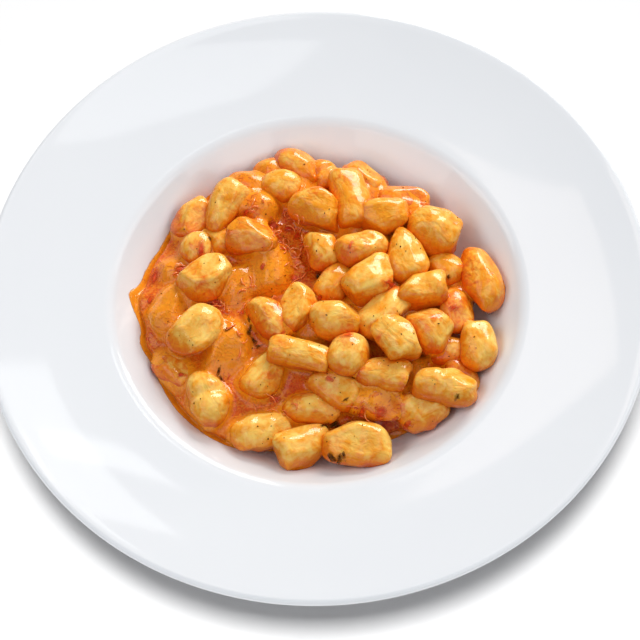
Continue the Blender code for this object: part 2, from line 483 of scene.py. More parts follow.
@dataclass(frozen=True)
class Dough:
    """Boiled potato dough, tinted and glazed by the sauce, with painted shade: oranger and darker on the side
    turned from the light, in the crevices and on the far right.
    """

    pale: Colour = linear(252, 208, 106)
    golden: Colour = linear(243, 158, 28)
    # orange and deep are sauce colours that also serve as painted shade on the shaded side and in the
    # crevices.
    orange: Colour = linear(230, 114, 12)
    deep: Colour = linear(196, 62, 6)
    tomato: Colour = linear(222, 76, 18)

    def make(self) -> bpy.types.Material:
        """Build the material."""
        finish = Finish("potato_dough")
        # Painted shade comes in through three painted numbers: the crevice shade in the sauce mask, the
        # far-right shade in the tone, and low, the side turned from the light.
        sauced, tone, low = finish.stored("sauced"), finish.stored("tone"), finish.stored("low")
        own = finish.node("ShaderNodeAttribute", {"attribute_name": "own_place"}).outputs["Vector"]
        ridges = finish.steepen(finish.grain(4.4, 3.0, (0.6, 1.2, 1.2), 1.1, own), 0.36, 0.66)
        patches = finish.steepen(finish.grain(5.5, 3.0, warp=0.8), 0.35, 0.65)
        smears = finish.steepen(finish.grain(3.0, 4.0, (1.0, 1.0, 0.6), 1.2), 0.36, 0.70)
        # The painted shade pushes the dough from pale towards golden, orange and deep red-brown; the lit side
        # stays pale.
        golden_and_shade = patches * 0.75 + ridges * 0.45 + tone * 0.5 + sauced * 0.5 + low * 1.0 - 0.27
        film_and_shade = sauced * 0.9 + smears * 0.6 + ridges * 0.2 + patches * 0.3 + low * 0.9 + tone * 0.3 - 0.84
        dough_with_shade = finish.blend(golden_and_shade.held(), self.pale, self.golden)
        filmed_and_shaded = finish.blend(film_and_shade.held(), dough_with_shade, self.orange)
        # The deep colour is partly sauce and partly painted shade in crevices and on the shaded side.
        dark = finish.blend((sauced * 1.4 + smears * 0.4 + low * 0.3 - 1.2).held(), filmed_and_shaded, self.deep)
        redness = finish.steepen(finish.stored("stain") + smears * 0.5 + patches * 0.2, 0.55, 1.5)
        finish.constants(
            Base_Color=finish.blend(redness * 0.85, dark, self.tomato), IOR=1.42,
            Specular_IOR_Level=0.12,
            Subsurface_Weight=0.22, Subsurface_Radius=(1.0, 0.5, 0.2), Subsurface_Scale=1.8 * MM,
            Coat_Roughness=0.12, Coat_IOR=1.5)
        finish.feed(finish.shader.inputs["Roughness"], 0.46 - sauced * 0.10 + patches * 0.08)
        finish.feed(finish.shader.inputs["Coat Weight"], (0.6 + sauced * 0.35 + smears * 0.2).held())
        wrinkles = finish.grain(1.3, 1.0) * 0.15 + finish.grain(3.2, 1.0, warp=0.8) * 0.7 + ridges * 0.5
        finish.relief(wrinkles, 0.7, 0.65)
        return finish.material


@dataclass(frozen=True)
class TomatoCream:
    """Thick orange sauce, golden where it thins out over what it covers."""

    film: Colour = linear(244, 152, 24)
    body: Colour = linear(238, 118, 14)
    deep: Colour = linear(206, 70, 7)
    creamy: Colour = linear(246, 166, 52)
    pulp: Colour = linear(200, 54, 14)

    def make(self) -> bpy.types.Material:
        """Build the material."""
        finish = Finish("tomato_cream_sauce")
        depth = finish.stored("depth")
        clouds = finish.steepen(finish.grain(7.0, 4.0, warp=0.9), 0.34, 0.66)
        streaks = finish.steepen(finish.grain(2.4, 4.0, (1.0, 1.6, 1.0), 1.6), 0.44, 0.70)
        shreds = finish.steepen(finish.grain(3.4, 3.0, (1.0, 1.0, 1.0), 2.2), 0.56, 0.68)
        thick = finish.blend(clouds * 0.8, self.deep, self.body)
        creamed = finish.blend(streaks * 0.65, thick, self.creamy)
        redness = finish.steepen(finish.stored("stain") + shreds * 0.5 + clouds * 0.2, 0.45, 1.4)
        pulpy = finish.blend(redness, creamed, self.pulp)
        share = finish.steepen(depth + clouds * 0.6 + redness * 2.0 - 0.3, 0.1, 2.6)
        finish.constants(
            Base_Color=finish.blend(share, self.film, pulpy), IOR=1.4,
            Specular_IOR_Level=0.12,
            Subsurface_Weight=0.2, Subsurface_Radius=(1.0, 0.4, 0.15), Subsurface_Scale=1.6 * MM,
            Coat_Roughness=0.11, Coat_IOR=1.45)
        finish.feed(finish.shader.inputs["Roughness"], 0.36 + streaks * 0.12)
        finish.feed(finish.shader.inputs["Coat Weight"], 0.95 - streaks * 0.35)
        fine, broad = finish.grain(1.6, 1.0, warp=0.8), finish.grain(3.4, 1.0, warp=1.2)
        finish.relief(fine * 0.25 + broad * 0.7 + shreds * 0.4, 0.9, 0.75)
        shown = finish.steepen(finish.stored("body") + clouds * 0.25, 0.12, 0.55)
        finish.feed(finish.shader.inputs["Alpha"], shown)
        return finish.material


@dataclass(frozen=True)
class Scrap:
    """A small bit of something in the sauce: tomato, herb or pepper.

    fade is how far in from a scrap's edge it thins out into the sauce, 0 to 1.
    """

    name: str
    light: Colour
    dark: Colour
    roughness: float
    coat: float
    grain: float
    fade: float = 0.0
    gloss: float = 0.2

    def make(self) -> bpy.types.Material:
        """Build the material."""
        finish = Finish(self.name)
        spots = finish.steepen(finish.grain(self.grain, 3.0, warp=0.5), 0.35, 0.65)
        finish.constants(
            Base_Color=finish.blend(spots, self.light, self.dark), IOR=1.4, Specular_IOR_Level=self.gloss,
            Subsurface_Weight=0.15, Subsurface_Radius=(1.0, 0.3, 0.15), Subsurface_Scale=1.0 * MM,
            Coat_Weight=self.coat, Coat_Roughness=0.12)
        finish.feed(finish.shader.inputs["Roughness"], self.roughness + spots * 0.1)
        if self.fade:
            ragged = finish.stored("edge") + finish.grain(self.grain, 2.0) * 0.5 - 0.25
            finish.feed(finish.shader.inputs["Alpha"], finish.steepen(ragged, 0.0, self.fade))
        finish.relief(finish.grain(self.grain * 0.8, 1.0), 0.3, 0.6)
        return finish.material


TOMATO = Scrap("tomato_scrap", linear(230, 92, 28), linear(198, 50, 14), 0.3, 0.45, 2.2, 0.9)
PULP = Scrap("tomato_pulp", linear(248, 152, 76), linear(236, 112, 44), 0.3, 0.9, 1.5)
HERB = Scrap("herb_leaf", linear(116, 72, 18), linear(56, 30, 8), 0.6, 0.1, 1.0, 0.8, 0.04)
PEPPER = Scrap("cracked_pepper", linear(112, 50, 12), linear(58, 22, 6), 0.8, 0.0, 0.5, 0.0, 0.0)


# --------------------------------------------------------------------------
# The plate
# --------------------------------------------------------------------------

@dataclass
class Plate:
    """The turned plate: foot ring, floor, deep well, wide rim and rolled lip."""

    rim_radius: float = 150.0
    thickness: float = 4.8
    floor_height: float = 9.0
    floor_radius: float = 52.0
    well_bend: float = 36.0
    wall_slope: float = 46.5
    wall_top_radius: float = 90.5
    shoulder_bend: float = 9.0
    rim_inner_slope: float = 5.0
    rim_outer_slope: float = 13.0
    lip_bend: float = 1.95
    lip_taper: float = 128.0
    foot_outer_radius: float = 51.0
    foot_inner_radius: float = 45.5
    foot_chamfer: float = 0.8
    foot_recess: float = 3.4
    foot_fillet: float = 0.6
    chamfer_bow: float = 0.3
    bare_from: float = 0.25
    bare_to: float = 0.9
    floor_rings: tuple[float, ...] = (6.0, 20.0, 36.0)
    recess_rings: tuple[float, ...] = (24.0, 6.0)
    well_steps: int = 16
    shoulder_steps: int = 8
    rim_steps: int = 16
    lip_steps: int = 14
    turn_steps: int = 256

    def well_curve(self, offset: float) -> list[Pair]:
        """The inside of the well from the floor's edge to the rim's inner edge.

        Args:
            offset: How far the curve moves into the porcelain.

        Returns:
            The curve, going outwards and up.
        """
        slope = math.radians(self.wall_slope)
        bend_centre = (self.floor_radius, self.floor_height + self.well_bend)
        lower = arc(bend_centre, self.well_bend + offset, -90, -90 + self.wall_slope, self.well_steps)
        foot_of_wall = self.floor_radius + self.well_bend * math.sin(slope)
        wall_rise = (self.wall_top_radius - foot_of_wall) * math.tan(slope)
        wall_top = self.floor_height + self.well_bend * (1 - math.cos(slope)) + wall_rise
        shoulder_centre = (self.wall_top_radius + self.shoulder_bend * math.sin(slope),
                           wall_top - self.shoulder_bend * math.cos(slope))
        shoulder = arc(shoulder_centre, self.shoulder_bend - offset,
                       90 + self.wall_slope, 90 + self.rim_inner_slope, self.shoulder_steps)
        return lower + shoulder

    def rim_curve(self, offset: float) -> list[Pair]:
        """The rim's top face, a shallow upward bow, moved down by offset."""
        inner_edge = self.well_curve(0.0)[-1]
        inner, outer = math.radians(self.rim_inner_slope), math.radians(self.rim_outer_slope)
        outer_edge = self.rim_radius - self.lip_bend * (1 + math.sin(outer))
        bow = (outer_edge - inner_edge[0]) / (math.sin(outer) - math.sin(inner))
        centre = (inner_edge[0] - bow * math.sin(inner), inner_edge[1] + bow * math.cos(inner))
        start, end = -90 + self.rim_inner_slope, -90 + self.rim_outer_slope
        return arc(centre, bow + offset, start, end, self.rim_steps)

    def lip_curve(self) -> list[Pair]:
        """The rounded lip, from the rim's top face round to its underside."""
        start, slope = self.rim_curve(0.0)[-1], math.radians(self.rim_outer_slope)
        centre = (start[0] + self.lip_bend * math.sin(slope), start[1] - self.lip_bend * math.cos(slope))
        first, last = 90 + self.rim_outer_slope, -90 + self.rim_outer_slope
        return arc(centre, self.lip_bend, first, last, self.lip_steps)[1:]

    def profile(self) -> list[Pair]:
        """The whole section, from the middle of the floor round to the recess."""
        floor = [(radius, self.floor_height) for radius in self.floor_rings]
        top = floor + self.well_curve(0.0) + self.rim_curve(0.0)[1:] + self.lip_curve()
        below_rim = [point for point in self.rim_curve(self.thickness)[1:] if point[0] < self.lip_taper]
        underside = below_rim[::-1] + self.well_curve(self.thickness)[::-1]
        outer, inner = self.foot_outer_radius, self.foot_inner_radius
        chamfer, bow, fillet = self.foot_chamfer, self.foot_chamfer * self.chamfer_bow, self.foot_fillet
        foot = [(outer, underside[-1][1] - fillet), (outer, chamfer), (outer - bow, bow),
                (outer - chamfer, 0.0), (inner + chamfer, 0.0), (inner + bow, bow), (inner, chamfer),
                (inner, self.foot_recess - fillet), (inner - fillet, self.foot_recess)]
        return top + underside + foot + [(radius, self.foot_recess) for radius in self.recess_rings]

    def wall_height(self, radius: Grid) -> Grid:
        """Height of the inside of the plate at each radius."""
        curve = [(0.0, self.floor_height)] + self.well_curve(0.0) + self.rim_curve(0.0)[1:]
        return np.interp(radius, [point[0] for point in curve], [point[1] for point in curve])

    def build(self) -> bpy.types.Object:
        """Turn the section into the plate's mesh."""
        profile = self.profile()
        turns = np.linspace(0, 2 * math.pi, self.turn_steps, endpoint=False)
        rings = [[(radius * math.cos(turn), radius * math.sin(turn), height) for turn in turns]
                 for radius, height in profile]
        points = [point for ring in rings for point in ring]
        steps, last = self.turn_steps, len(profile) - 1
        faces = [(ring * steps + side, (ring + 1) * steps + side,
                  (ring + 1) * steps + (side + 1) % steps, ring * steps + (side + 1) % steps)
                 for ring in range(last) for side in range(steps)]
        top, bottom = len(points), len(points) + 1
        points += [(0.0, 0.0, profile[0][1]), (0.0, 0.0, profile[-1][1])]
        faces += [(top, side, (side + 1) % steps) for side in range(steps)]
        faces += [(bottom, last * steps + (side + 1) % steps, last * steps + side) for side in range(steps)]
        piece = make_piece("pasta_plate", np.array(points), faces)
        heights = np.array(points)[:, 2]
        paint(piece, "bare", 1 - smooth_step(self.bare_from, self.bare_to, heights))
        dress(piece, Porcelain().make(), "porcelain", "plate")
        return piece


# --------------------------------------------------------------------------
# The gnocchi
# --------------------------------------------------------------------------

class Form(Enum):
    """The ways a gnocco comes off the knife."""

    PILLOW = "pillow"
    CUT = "cut"
    ROUND = "round"
    WEDGE = "wedge"
    TEAR = "tear"
    BEAN = "bean"
    BLOCK = "block"


@dataclass(frozen=True)
class Shape:
    """How a form departs from a plain rounded block."""

    squareness: float
    end_squareness: float
    taper: float
    bend: float
    crease: float
    facets: int


SHAPES = {
    Form.PILLOW: Shape(2.2, 2.5, 0.08, 0.07, 0.0, 4),
    Form.CUT: Shape(2.3, 4.6, 0.05, 0.08, 0.0, 3),
    Form.ROUND: Shape(2.0, 2.2, 0.08, 0.0, 0.0, 2),
    Form.WEDGE: Shape(2.4, 3.2, 0.40, 0.06, 0.0, 4),
    Form.TEAR: Shape(2.0, 2.1, 0.42, 0.05, 0.0, 2),
    Form.BEAN: Shape(2.2, 2.5, 0.06, 0.15, 0.20, 2),
    Form.BLOCK: Shape(2.8, 3.2, 0.12, 0.05, 0.0, 6),
}


PLUMPNESS = 1.06
THICKNESS_TO_WIDTH = 0.86


@dataclass(frozen=True)
class Gnocco:
    """One gnocco, in millimetres and degrees.

    east, north and height are its middle, and heading is its long axis from
    east. coat is how much sauce covers it, 0 to 1.
    """

    east: float
    north: float
    height: float
    heading: float
    length: float
    width: float
    form: Form
    coat: float

    @property
    def halves(self) -> Grid:
        """Half its length, width and thickness."""
        return np.array((self.length, self.width, self.width * THICKNESS_TO_WIDTH)) * (PLUMPNESS / 2)

    @property
    def axes(self) -> Grid:
        """Its own axes as the columns of a matrix."""
        return np.array(Matrix.Rotation(math.radians(self.heading), 3, "Z"))

    @property
    def middle(self) -> Grid:
        """Its middle."""
        return np.array((self.east, self.north, self.height))


FAR_SIDE = [
    Gnocco(-7, 73, 27, 150, 24, 17, Form.ROUND, 0.55),
    Gnocco(-19, 71, 25, 10, 17, 15, Form.ROUND, 0.6),
    Gnocco(5, 69, 25, 120, 16, 13, Form.BEAN, 0.45),
    Gnocco(-15, 61, 30, 177, 19, 16, Form.ROUND, 0.35),
    Gnocco(-31, 64, 27, 150, 19, 14, Form.PILLOW, 0.85),
    Gnocco(-41, 49, 33, 242, 26, 14, Form.WEDGE, 0.15),
    Gnocco(-56, 47, 27, 53, 22, 16, Form.PILLOW, 0.55),
    Gnocco(-27, 50, 30, 166, 19, 15, Form.ROUND, 0.9),
    Gnocco(23, 64, 26, 120, 23, 16, Form.PILLOW, 0.45),
    Gnocco(17, 51, 33, 101, 29, 17, Form.CUT, 0.35),
    Gnocco(41, 53, 27, 168, 26, 14, Form.PILLOW, 0.6),
    Gnocco(32, 41, 34, 9, 23, 17, Form.PILLOW, 0.15),
    Gnocco(2, 45, 35, 166, 25, 19, Form.BLOCK, 0.3),
]
LEFT_SIDE = [
    Gnocco(-54, 31, 29, 62, 17, 14, Form.ROUND, 0.35),
    Gnocco(-44, 34, 28, 0, 16, 13, Form.CUT, 0.3),
    Gnocco(-50, 12, 33, 37, 24, 19, Form.BLOCK, 0.4),
    Gnocco(-64, 20, 24, 0, 15, 13, Form.ROUND, 0.85),
    Gnocco(-66, -1, 26, 62, 25, 18, Form.PILLOW, 0.88),
    Gnocco(-55, -14, 33, 45, 26, 19, Form.PILLOW, 0.3),
    Gnocco(-41, -21, 27, 75, 28, 17, Form.PILLOW, 0.9),
    Gnocco(-66, -29, 24, 138, 21, 14, Form.PILLOW, 0.6),
    Gnocco(-51, -46, 28, 102, 25, 17, Form.BEAN, 0.3),
    Gnocco(-35, 12, 27, 85, 23, 14, Form.PILLOW, 0.9),
]
MIDDLE = [
    Gnocco(-29, 32, 34, 172, 23, 17, Form.BLOCK, 0.65),
    Gnocco(-22, 18, 28, 89, 27, 18, Form.PILLOW, 0.95),
    Gnocco(3, 25, 33, 110, 19, 15, Form.PILLOW, 0.3),
    Gnocco(21, 23, 36, 9, 23, 16, Form.PILLOW, 0.5),
    Gnocco(8, 8, 31, 56, 20, 15, Form.PILLOW, 0.35),
    Gnocco(-9, -5, 33, 73, 24, 17, Form.PILLOW, 0.45),
    Gnocco(-22, -9, 32, 130, 23, 16, Form.PILLOW, 0.6),
    Gnocco(25, 7, 36, 41, 25, 18, Form.BLOCK, 0.3),
    Gnocco(8, -12, 35, 3, 23, 18, Form.PILLOW, 0.35),
    Gnocco(-9, -29, 34, 161, 27, 14, Form.CUT, 0.1),
    Gnocco(13, -30, 35, 60, 20, 18, Form.ROUND, 0.5),
    Gnocco(30, -9, 33, 46, 27, 18, Form.PILLOW, 0.2),
]
RIGHT_SIDE = [
    Gnocco(41, 20, 35, 96, 27, 17, Form.TEAR, 0.15),
    Gnocco(55, 33, 32, 140, 25, 22, Form.ROUND, 0.25),
    Gnocco(59, 15, 28, 133, 18, 16, Form.ROUND, 0.35),
    Gnocco(75, 8, 29, 99, 31, 17, Form.PILLOW, 0.5),
    Gnocco(47, 1, 35, 9, 23, 16, Form.CUT, 0.15),
    Gnocco(62, -7, 29, 104, 21, 15, Form.PILLOW, 0.5),
    Gnocco(50, -19, 35, 124, 22, 18, Form.PILLOW, 0.5),
    Gnocco(71, -24, 29, 95, 24, 16, Form.PILLOW, 0.25),
    Gnocco(58, -25, 25, 0, 18, 14, Form.ROUND, 0.5),
    Gnocco(35, -24, 36, 134, 24, 18, Form.BLOCK, 0.1),
]
NEAR_SIDE = [
    Gnocco(-24, -35, 28, 48, 26, 16, Form.PILLOW, 0.45),
    Gnocco(-27, -61, 23, 14, 26, 17, Form.PILLOW, 0.2),
    Gnocco(-8, -68, 23, 28, 25, 17, Form.WEDGE, 0.2),
    Gnocco(-4, -51, 24, 174, 25, 14, Form.PILLOW, 0.4),
    Gnocco(7, -44, 28, 150, 24, 16, Form.PILLOW, 0.25),
    Gnocco(29, -40, 31, 178, 25, 16, Form.CUT, 0.6),
    Gnocco(55, -46, 32, 169, 27, 18, Form.BEAN, 0.25),
    Gnocco(24, -51, 27, 167, 24, 15, Form.PILLOW, 0.8),
    Gnocco(45, -53, 24, 19, 24, 18, Form.PILLOW, 0.5),
    Gnocco(15, -70, 26, 172, 30, 20, Form.PILLOW, 0.42),
]


UNDERNEATH = [
    Gnocco(63, 2, 23, 30, 22, 16, Form.ROUND, 0.8),
    Gnocco(50, 8, 23, 80, 24, 17, Form.PILLOW, 0.7),
    Gnocco(36, 8, 24, 10, 24, 17, Form.PILLOW, 0.8),
    Gnocco(30, 28, 24, 60, 24, 17, Form.PILLOW, 0.8),
    Gnocco(48, 42, 24, 130, 24, 17, Form.PILLOW, 0.8),
    Gnocco(12, 36, 25, 20, 24, 17, Form.PILLOW, 0.9),
    Gnocco(14, -6, 24, 150, 24, 17, Form.PILLOW, 0.9),
    Gnocco(42, -12, 24, 60, 24, 17, Form.PILLOW, 0.8),
    Gnocco(38, -36, 21, 20, 24, 17, Form.PILLOW, 0.8),
    Gnocco(62, -38, 22, 100, 22, 16, Form.PILLOW, 0.7),
    Gnocco(16, -30, 23, 100, 24, 17, Form.PILLOW, 0.9),
    Gnocco(-6, 62, 24, 60, 22, 16, Form.PILLOW, 0.9),
    Gnocco(26, 58, 24, 30, 22, 16, Form.PILLOW, 0.9),
    Gnocco(0, -10, 24, 30, 24, 17, Form.PILLOW, 0.9),
]


class Body:
    """One gnocco's solid, which tells how far any point is from its skin."""

    LUMP_HEIGHT = 0.045
    PIMPLE_HEIGHT = 0.016
    FACET_LIMITS = (0.76, 0.90)
    FACET_FILLET = 0.09
    STEPS_TO_SKIN = 7
    LUMP_SIZE = 11.0
    PIMPLE_SIZE = 4.2
    PATCH_SIZE = 13.0
    CREASE_PLACE = 0.05
    CREASE_WIDTH = 0.16

    # How far a point is from the skin, from its fullness: the share that holds near the skin,
    # and the fullness below which a point counts as the middle.
    NEARNESS = 0.93
    MIDDLE_FULLNESS = 0.2

    # The film of sauce: without a coat, per coat, by chance, by the pool and on the underside.
    FILM_BARE = -1.7
    FILM_COAT = 2.3
    FILM_PATCH = 0.55
    FILM_POOL = 1.5
    POOL_REACH = 2.2
    FILM_BELOW = 0.6
    FILM_RANGE = (-1.6, 0.5)
    BURIED_COAT = 0.78

    def __init__(self, gnocco: Gnocco, number: int) -> None:
        """Draw the chances of one gnocco.

        Args:
            gnocco: Its sizes and place.
            number: Its number in the heap, which seeds its chances.
        """
        self.gnocco, self.shape, self.number = gnocco, SHAPES[gnocco.form], number
        chance = np.random.default_rng(400 + number)
        self.facets: list[tuple[Grid, float]] = []
        for _ in range(self.shape.facets):
            facing = chance.normal(size=3) * (0.8, 1.0, 1.0)
            self.facets.append((facing / np.linalg.norm(facing), chance.uniform(*self.FACET_LIMITS)))
        self.lumps = Waves.drawn(1000 + number, self.LUMP_SIZE, 7)
        self.pimples = Waves.drawn(2000 + number, self.PIMPLE_SIZE)
        self.patches = Waves.drawn(3000 + number, self.PATCH_SIZE)

    def fullness(self, local: Grid) -> Grid:
        """How far points are out from the middle, 1 at the skin.

        Args:
            local: Points from its middle along its own axes.

        Returns:
            The share of the way to the skin.
        """
        share = local / self.gnocco.halves
        along = share[:, 0]
        narrowed = 1 - self.shape.taper * np.clip(along, -1.2, 1.2)
        wide = np.abs(share[:, 1] / narrowed - self.shape.bend * (along ** 2 - 0.4) * 2)
        high = np.abs(share[:, 2] / narrowed)
        power, end_power = self.shape.squareness, self.shape.end_squareness
        across = (wide ** power + high ** power) ** (1 / power)
        full = (across ** end_power + np.abs(along) ** end_power) ** (1 / end_power)
        for facing, limit in self.facets:
            full = soft_max(full, share @ facing / limit, self.FACET_FILLET)
        if self.shape.crease:
            pinch = np.exp(-((along - self.CREASE_PLACE) / self.CREASE_WIDTH) ** 2)
            full += self.shape.crease * pinch * np.clip(share[:, 2], 0, 1)
        rough = self.PIMPLE_HEIGHT * smooth_step(-0.6, 0.8, self.patches.at(local))
        return full * (1 + self.LUMP_HEIGHT * self.lumps.at(local) + rough * self.pimples.at(local))

    def distance(self, points: Grid) -> Grid:
        """About how far points are from its skin, less than 0 inside."""
        local = (points - self.gnocco.middle) @ self.gnocco.axes
        full = np.maximum(self.fullness(local), self.MIDDLE_FULLNESS)
        return self.NEARNESS * np.linalg.norm(local, axis=1) * (1 - 1 / full)

    def film(self, points: Grid, above: Grid) -> Grid:
        """How thick the sauce clings round each point, less than 0 where it is bare.

        Args:
            points: Points near its skin.
            above: Their heights over the pool.

        Returns:
            The thickness in millimetres.
        """
        local = (points - self.gnocco.middle) @ self.gnocco.axes
        down = np.clip(-(points[:, 2] - self.gnocco.height) / self.gnocco.halves[2], -1, 1)
        thick = self.FILM_BARE + self.FILM_COAT * self.gnocco.coat + self.FILM_PATCH * self.patches.at(local)
        thick += self.FILM_POOL * np.exp(-np.clip(above, 0, None) / self.POOL_REACH) + self.FILM_BELOW * down
        thinnest, thickest = self.FILM_RANGE
        return np.clip(thick, max(thinnest, 4 * (self.gnocco.coat - self.BURIED_COAT)), thickest)

    def facing(self, points: Grid) -> Grid:
        """About which way its skin faces at each point."""
        local = (points - self.gnocco.middle) @ self.gnocco.axes / self.gnocco.halves ** 2
        return (local / np.linalg.norm(local, axis=1, keepdims=True)) @ self.gnocco.axes.T

    def skin(self, ball: Grid) -> Grid:
        """Places of its skin in each direction of a ball."""
        reach = np.ones(len(ball))
        for _ in range(self.STEPS_TO_SKIN):
            reach /= self.fullness(ball * reach[:, None] * self.gnocco.halves)
        return (ball * reach[:, None] * self.gnocco.halves) @ self.gnocco.axes.T + self.gnocco.middle


@dataclass
class Gnocchi:
    """All the gnocchi, shaped one by one."""

    cells: int = 16
    hidden_cells: int = 8
    # Direction towards the light; the side of each gnocco turned from it gets painted shade.
    lit_side: tuple[float, float, float] = (0.38, 0.42, 0.82)
    wall_gap: float = 0.2
    nothing_near: float = 12.0
    neighbour_reach: float = 1.4
    # How much sauce and painted shade the crevices between touching gnocchi get, and the cap on the sauce
    # mask.
    crevice_sauce_and_shade: float = 0.55
    most_sauce_and_shade: float = 1.2
    # Where the painted shade on the side turned from the light starts, and where it is full.
    shade_from: float = 0.75
    shade_to: float = -0.45
    pattern_step: float = 40.0

    def __post_init__(self) -> None:
        """Give every gnocco its body."""
        on_top = FAR_SIDE + LEFT_SIDE + MIDDLE + RIGHT_SIDE + NEAR_SIDE
        self.on_top = len(on_top)
        self.bodies = [Body(gnocco, number) for number, gnocco in enumerate(on_top + UNDERNEATH)]

    @staticmethod
    def ball(cells: int) -> tuple[Grid, list[tuple[int, ...]]]:
        """A unit ball made from a cube's cells, so that no point is a pole."""
        work = bmesh.new()
        bmesh.ops.create_cube(work, size=2.0)
        bmesh.ops.subdivide_edges(work, edges=work.edges[:], cuts=cells - 1, use_grid_fill=True)
        points = np.array([vert.co for vert in work.verts])
        faces = [tuple(vert.index for vert in face.verts) for face in work.faces]
        work.free()
        eased = np.tan(points * math.pi / 4)
        return eased / np.linalg.norm(eased, axis=1, keepdims=True), faces

    def nearest(self, points: Grid, but: int = -1, reach: float = 26.0) -> Grid:
        """Distance from points to the nearest gnocco, leaving one out if asked.

        Args:
            points: The points.
            but: The number of a gnocco to leave out.
            reach: How far from a gnocco's middle it still counts.

        Returns:
            The distances, nothing_near where there is none.
        """
        gaps = np.full(len(points), self.nothing_near)
        for body in self.bodies:
            close = np.linalg.norm(points - body.gnocco.middle, axis=1) < reach
            if body.number != but and close.any():
                gaps[close] = np.minimum(gaps[close], body.distance(points[close]))
        return gaps

    @staticmethod
    def tone(body: Body) -> float:
        """How golden a gnocco is: by chance, plus painted shade that makes the gnocchi on the far right more
        golden and orange.
        """
        chance = np.random.default_rng(900 + body.number).random()
        far_right_shade = smooth_step(10.0, 70.0, 0.55 * body.gnocco.east + 0.8 * body.gnocco.north)
        return float(0.6 * chance + 0.9 * far_right_shade)

    def build(self, sauce: "Sauce") -> bpy.types.Object:
        """Shape every gnocco and paint where the sauce clings to it, with painted shade on the side turned
        from the light, in the crevices and on the far right.

        Args:
            sauce: The sauce that they stand in.

        Returns:
            The gnocchi as one piece.
        """
        fine, coarse = self.ball(self.cells), self.ball(self.hidden_cells)
        points, faces, sauced, tone, low, own, first = [], [], [], [], [], [], 0
        for body in self.bodies:
            ball, cells = fine if body.number < self.on_top else coarse
            placed = body.skin(ball)
            wall = sauce.plate.wall_height(np.hypot(placed[:, 0], placed[:, 1]))
            placed[:, 2] = np.maximum(placed[:, 2], wall + self.wall_gap)
            above = placed[:, 2] - sauce.level(placed[:, 0], placed[:, 1])
            cling = smooth_step(*Body.FILM_RANGE, body.film(placed, above))
            gap = np.clip(self.nearest(placed, body.number, 20.0), 0, None)
            # Painted shade, with the sauce that gathers there, in the crevices where gnocchi touch.
            close = np.exp(-gap / self.neighbour_reach)
            faces += [tuple(corner + first for corner in cell) for cell in cells]
            points.append(placed)
            sauced.append(np.clip(cling + self.crevice_sauce_and_shade * close, 0, self.most_sauce_and_shade))
            # Random tone, plus painted shade on the far right.
            tone.append(np.full(len(ball), self.tone(body)))
            # Painted shade: 1 on the side turned from the light, 0 on the lit side.
            low.append(smooth_step(self.shade_from, self.shade_to, body.facing(placed) @ self.lit_side))
            own.append((placed - body.gnocco.middle) @ body.gnocco.axes + self.pattern_step * body.number)
            first += len(ball)
        piece = make_piece("potato_gnocchi", np.concatenate(points), faces)
        paint(piece, "sauced", np.concatenate(sauced))
        paint(piece, "tone", np.concatenate(tone))
        paint(piece, "low", np.concatenate(low))
        paint(piece, "own_place", np.concatenate(own) * MM)
        paint(piece, "stain", stained(np.concatenate(points)))
        dress(piece, Dough().make(), "gnocchi", "gnocchi_heap")
        return piece


@dataclass(frozen=True)
class Stain:
    """A place where tomato has coloured the food: its middle, its reach and how red it is."""

    east: float
    north: float
    reach: float
    red: float


STAINS = (
    Stain(-54, 28, 4, 0.9), Stain(-52, 24, 3, 0.8), Stain(-74, 19, 5, 1.0), Stain(-62, 20, 5, 1.0),
    Stain(-51, 8, 5, 0.7), Stain(-46, 2, 5, 0.8), Stain(2, 52, 8, 0.5), Stain(-30, 63, 7, 0.7),
    Stain(-29, 47, 9, 0.8), Stain(-14, 34, 11, 0.42), Stain(-10, 14, 9, 0.42), Stain(-4, 22, 6, 0.45),
    Stain(16, 19, 5, 0.9), Stain(22, 24, 5, 0.5), Stain(34, 2, 4, 1.0), Stain(67, 6, 8, 0.6),
    Stain(70, 14, 5, 0.5), Stain(60, -7, 8, 0.9), Stain(13, -23, 6, 0.9), Stain(25, -28, 4, 1.0),
    Stain(27, -57, 6, 1.0), Stain(17, -56, 6, 0.6), Stain(46, -19, 8, 0.6), Stain(51, -15, 6, 0.7),
    Stain(-24, -38, 5, 0.5), Stain(-70, -7, 7, 0.3), Stain(-11, -42, 8, 0.8), Stain(-72, -22, 6, 0.3),
    Stain(11, -42, 5, 0.4), Stain(-27, -15, 6, 0.8), Stain(2, -39, 6, 0.5), Stain(54, 47, 5, 0.3),
    Stain(-13, 52, 7, 0.35), Stain(13, 60, 5, 0.5), Stain(-34, 20, 6, 0.4), Stain(-17, -26, 5, 0.5),
    Stain(33, -54, 6, 0.8), Stain(52, -32, 5, 0.7), Stain(-45, -36, 7, 0.5), Stain(-60, -30, 6, 0.25),
    Stain(-48, 40, 5, 0.5), Stain(-30, 5, 8, 0.45), Stain(-22, -8, 7, 0.45), Stain(-62, 40, 6, 0.5),
    Stain(3, 14, 5, 0.8), Stain(38, -47, 5, 0.5), Stain(-2, -62, 5, 0.5), Stain(62, -30, 4, 0.4),
)


def stained(points: Grid) -> Grid:
    """How much tomato colours each point, 0 to about 1."""
    red = np.zeros(len(points))
    for stain in STAINS:
        away = np.hypot(points[:, 0] - stain.east, points[:, 1] - stain.north) / stain.reach
        red = np.maximum(red, stain.red * np.exp(-away ** 2))
    return red


# --------------------------------------------------------------------------
# The sauce
# --------------------------------------------------------------------------

